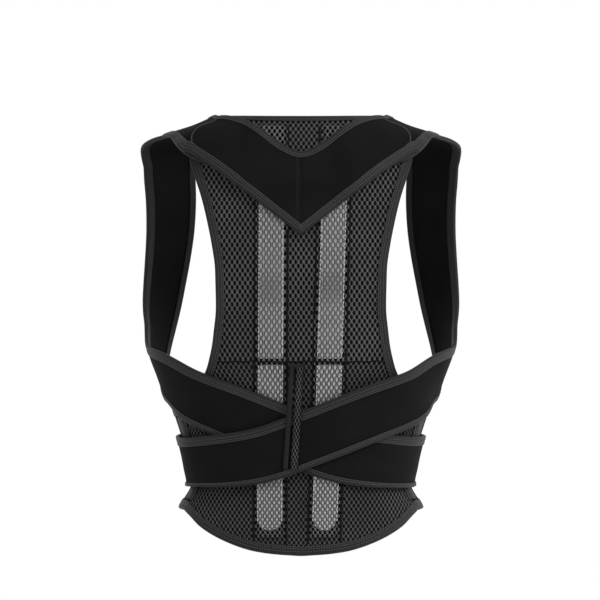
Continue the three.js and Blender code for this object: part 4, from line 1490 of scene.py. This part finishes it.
class BRACE_OT_seams(bpy.types.Operator):
    """Sews the seam across the panel, the pockets' seams and the yoke's middle seam"""

    bl_idname = "brace.seams"
    bl_label = "Seams"

    def execute(self, context):
        lines = {"panel_seam": (self.across_panel(), *PANEL_SEAM)}
        heights = np.linspace(height_of(POCKET_TOP), height_of(POCKET_BOTTOM) - 6 * MM, 150)
        wave = 0.25 * MM * np.sin(heights / (2.3 * MM))
        for side in STAYS:
            for edge, word in ((-1, "outer"), (1, "inner")):
                x = stay_x(side, heights) + edge * (POCKET_HALF + 0.4 * MM) + wave
                line = Line(turn_at(x, heights), heights, sizes().panel_thick - SEAM_SINK)
                lines[f"pocket_seam_{side}_{word}"] = (line, *POCKET_SEAM)
        for name, (line, width, high) in lines.items():
            dressed(sweep(name, line, *seam_section(width, high), finish("seam")), "tape")
            rows = [chain(line, left, high * 0.75) for left in (-0.28 * width, 0.28 * width)]
            dressed(sew(f"{name}_stitches", rows, thread="seam"), "tape")
        self.yoke_seam()
        return {"FINISHED"}

    def across_panel(self):
        """The line of the seam across the panel, raised where it runs over the stays."""
        s = sizes()
        z = height_of(s.seam_down)
        half = turn_at(along(ARMHOLE, "half", s.seam_down) * s.half_breadth - 8 * MM, z)
        turn = np.linspace(-half, half, 90)
        x = skin(turn, z + 0 * turn)[:, 0]
        off = np.minimum(*[np.abs(x - stay_x(side, z)) for side in STAYS])
        over = 1 - smoothstep(off, 13 * MM, 18 * MM)
        stand = s.panel_thick - SEAM_SINK + over * (levels()["pocket"] + COVER_RISE - s.panel_thick)
        wave = 0.5 * MM * np.sin(x / (3.1 * MM)) + 0.3 * MM * np.sin(x / (11 * MM))
        return Line(turn, z + wave, stand)

    def yoke_seam(self):
        """The zigzag and the plain row of stitches beside the crease up the yoke's middle."""
        low, top = [yoke_half(1, edge, np.array([0.0])) for edge in (True, False)]
        share = np.linspace(0.06, 0.93, 40)
        line = Line(*[a + (b - a) * share for a, b in zip(low, top)])
        zigzag, row = [chain(line, left, sizes().strap_thick + 0.25 * MM) for left in (3 * MM, 5.2 * MM)]
        slant = math.radians(72)
        dressed(sew("yoke_zigzag", [zigzag], slant, 0.75, 1.3, thread="keeper"), "tape")
        dressed(sew("yoke_seam_stitches", [row], 0, 0.8, thread="keeper"), "tape")


# Each of the keeper's strands: its middle to the line's left, its width and its height
LEFT_STRAND = (-5.6 * MM, 5.2 * MM, 3 * MM)
RIGHT_STRAND = (3.6 * MM, 9 * MM, 2.2 * MM)

# Half the length of the folded top, and half its width and height
FOLD_HALF, FOLD_WIDE, FOLD_HIGH = 9.5 * MM, 2.3 * MM, 1 * MM


class BRACE_OT_keeper(bpy.types.Operator):
    """Makes the keeper: two rolled strands of net over the crossing, folded in a T at the top"""

    bl_idname = "brace.keeper"
    bl_label = "Keeper"

    def execute(self, context):
        level = levels()
        share = np.linspace(0, 1, 64)
        rise = along(KEEPER_RISE, "rise", share, "s")
        z = height_of(KEEPER_DOWN[0] + (KEEPER_DOWN[1] - KEEPER_DOWN[0]) * share)
        x = sizes().half_breadth * (KEEPER_X[0] + (KEEPER_X[1] - KEEPER_X[0]) * share)
        low = level["pocket"]
        line = Line(turn_at(x, z), z, low + (level["keeper"] - low) * rise)
        left = self.core("keeper_strand_left", line, *LEFT_STRAND, "keeper")
        right = self.core("keeper_strand_right", line, *RIGHT_STRAND, "lining")
        merged(right, self.doubled_net("keeper_net", line, *RIGHT_STRAND))
        for strand in (left, right):
            dressed(strand, "net", "keeper")
        self.fold(line)
        return {"FINISHED"}

    def core(self, name, line, middle, width, high, key):
        """A rolled strand along the keeper, with a few lengthwise folds."""
        angle = np.radians(np.arange(18) * 20)
        fold = 0.14 * high * np.sin(3 * angle) ** 2
        lefts = middle + (width / 2 - fold) * np.cos(angle)
        rises = high / 2 + (high / 2 - fold) * np.sin(angle)
        return sweep(name, line, lefts, rises, finish(key))

    def doubled_net(self, name, line, middle, width, high):
        """Two columns of the net's cells, gathered narrow, over a strand."""
        net = net_sizes()
        share = np.linspace(-0.5, 0.5, 9)
        turn, z = line.grid(middle + width * share)
        stand = line.stand[:, None] + high * (0.35 + 0.75 * np.sqrt(1 - (1.8 * share) ** 2))
        closer = net.pitch_across / KEEPER_CELL[0], net.pitch_along / KEEPER_CELL[1]
        flat = paired(share * width * closer[0], -line.reach * closer[1])
        cover = bed("keeper_bed", turn, z, stand, flat)
        centres = lattice()
        centres = centres[np.abs(centres[:, 0]) < 1.3 * net.pitch_across]
        piece = lay_net(name, centres, cover)
        bpy.data.objects.remove(cover)
        return piece

    def fold(self, line):
        """The folded-back top of the band, which makes a T with the strands."""
        x = np.linspace(-FOLD_HALF, FOLD_HALF, 24)
        turn = line.turn[1] + x / (sizes().back_depth * 0.95)
        z = line.z[1] + 3.4 * MM - 2.2 * MM * np.cos(x / FOLD_HALF * 1.3)
        across = Line(turn, z, levels()["pocket"] + 0.4 * MM)
        angle = np.radians(np.arange(12) * 30)
        lefts, rises = FOLD_WIDE * np.cos(angle), FOLD_HIGH * (1 + np.sin(angle))
        piece = sweep("keeper_fold", across, lefts, rises, finish("keeper"))
        dressed(piece, "net", "keeper")


# Studio


FLOOR_RADIUS = 2.0

# What the lights face, and each light's place, size and power
AIM = (0, 0, -0.25)
LIGHTS = {
    "key_light": ((2.2, -2.4, 1.8), (1.2, 1.2), 90),
    "fill_light": ((-2.2, -2.4, 0.8), (1.4, 1.4), 14),
    "edge_light": ((2.1, -0.2, 0.6), (0.6, 1.6), 26),
}


def pale_floor(radius, height):
    """A round pale floor."""
    f = Finish("floor_paint", roughness=0.9, specular=0.1)
    f.colour(f.noise(f.where("Object"), 3, 2), (1, 1, 1), 0.84, 0.86)
    angle = np.linspace(0, 2 * math.pi, 64, endpoint=False)
    points = np.stack([radius * np.cos(angle), radius * np.sin(angle), height + 0 * angle], axis=-1)
    new_piece("studio_floor", points, [list(range(64))], f.material)


def light(name, place, size, power):
    """A soft oblong light that faces the brace."""
    lamp = bpy.data.lights.new(name, "AREA")
    lamp.shape = "RECTANGLE"
    lamp.size, lamp.size_y = size
    lamp.energy = power
    piece = linked(name, lamp)
    piece.visible_camera = False
    piece.location = place
    piece.rotation_euler = (Vector(AIM) - Vector(place)).to_track_quat("-Z", "Y").to_euler()


class BRACE_OT_studio(bpy.types.Operator):
    """Sets the pale floor, the soft lights and the camera behind the brace"""

    bl_idname = "brace.studio"
    bl_label = "Studio"

    def execute(self, context):
        studio = context.scene.brace_studio
        pale_floor(FLOOR_RADIUS, studio.floor)
        world = bpy.data.worlds.new("studio_air")
        world.use_nodes = True
        world.node_tree.nodes["Background"].inputs[0].default_value = (1, 1, 1, 1)
        world.node_tree.nodes["Background"].inputs[1].default_value = 1.0
        context.scene.world = world
        context.scene.view_settings.view_transform = "Standard"
        for name, settings in LIGHTS.items():
            light(name, *settings)
        camera = bpy.data.cameras.new("photo_camera")
        camera.sensor_width = 36
        near = studio.distance - 0.1
        camera.lens = camera.sensor_width * near / (PICTURE_PIXELS * studio.pixel)
        camera.clip_end = 60
        viewer = linked("photo_camera", camera)
        viewer.location = (studio.centre_x, -studio.distance, studio.centre_z)
        viewer.rotation_euler = (math.pi / 2, 0, 0)
        context.scene.camera = viewer
        return {"FINISHED"}


class BRACE_PT_pieces(bpy.types.Panel):
    """Lists the pieces and sizes of the brace"""

    bl_label = "Posture corrector"
    bl_idname = "BRACE_PT_pieces"
    bl_space_type = "VIEW_3D"
    bl_region_type = "UI"
    bl_category = "Brace"

    def draw(self, context):
        column = self.layout.column()
        for operator in OPERATORS:
            column.operator(operator.bl_idname)
        for group in GROUPS:
            settings = getattr(context.scene, group)
            for name in settings.bl_rna.properties.keys():
                if name not in ("rna_type", "name"):
                    column.prop(settings, name)


OPERATORS = (
    BRACE_OT_studio,
    BRACE_OT_panel,
    BRACE_OT_pockets,
    BRACE_OT_belt,
    BRACE_OT_straps,
    BRACE_OT_yoke,
    BRACE_OT_bindings,
    BRACE_OT_seams,
    BRACE_OT_keeper,
)
GROUPS = {
    "brace_sizes": BraceSizes,
    "brace_net": NetSizes,
    "brace_stitches": StitchSizes,
    "brace_colours": BraceColours,
    "brace_studio": StudioSettings,
}


def register():
    for name, group in GROUPS.items():
        bpy.utils.register_class(group)
        setattr(bpy.types.Scene, name, bpy.props.PointerProperty(type=group))
    for cls in (*OPERATORS, BRACE_PT_pieces):
        bpy.utils.register_class(cls)


def unregister():
    for cls in (BRACE_PT_pieces, *reversed(OPERATORS)):
        bpy.utils.unregister_class(cls)
    for name, group in GROUPS.items():
        delattr(bpy.types.Scene, name)
        bpy.utils.unregister_class(group)


def main():
    register()
    bpy.ops.brace.studio()
    bpy.ops.brace.panel()
    bpy.ops.brace.pockets()
    bpy.ops.brace.belt()
    bpy.ops.brace.straps()
    bpy.ops.brace.yoke()
    bpy.ops.brace.bindings()
    bpy.ops.brace.seams()
    bpy.ops.brace.keeper()


if __name__ == "__main__":
    main()
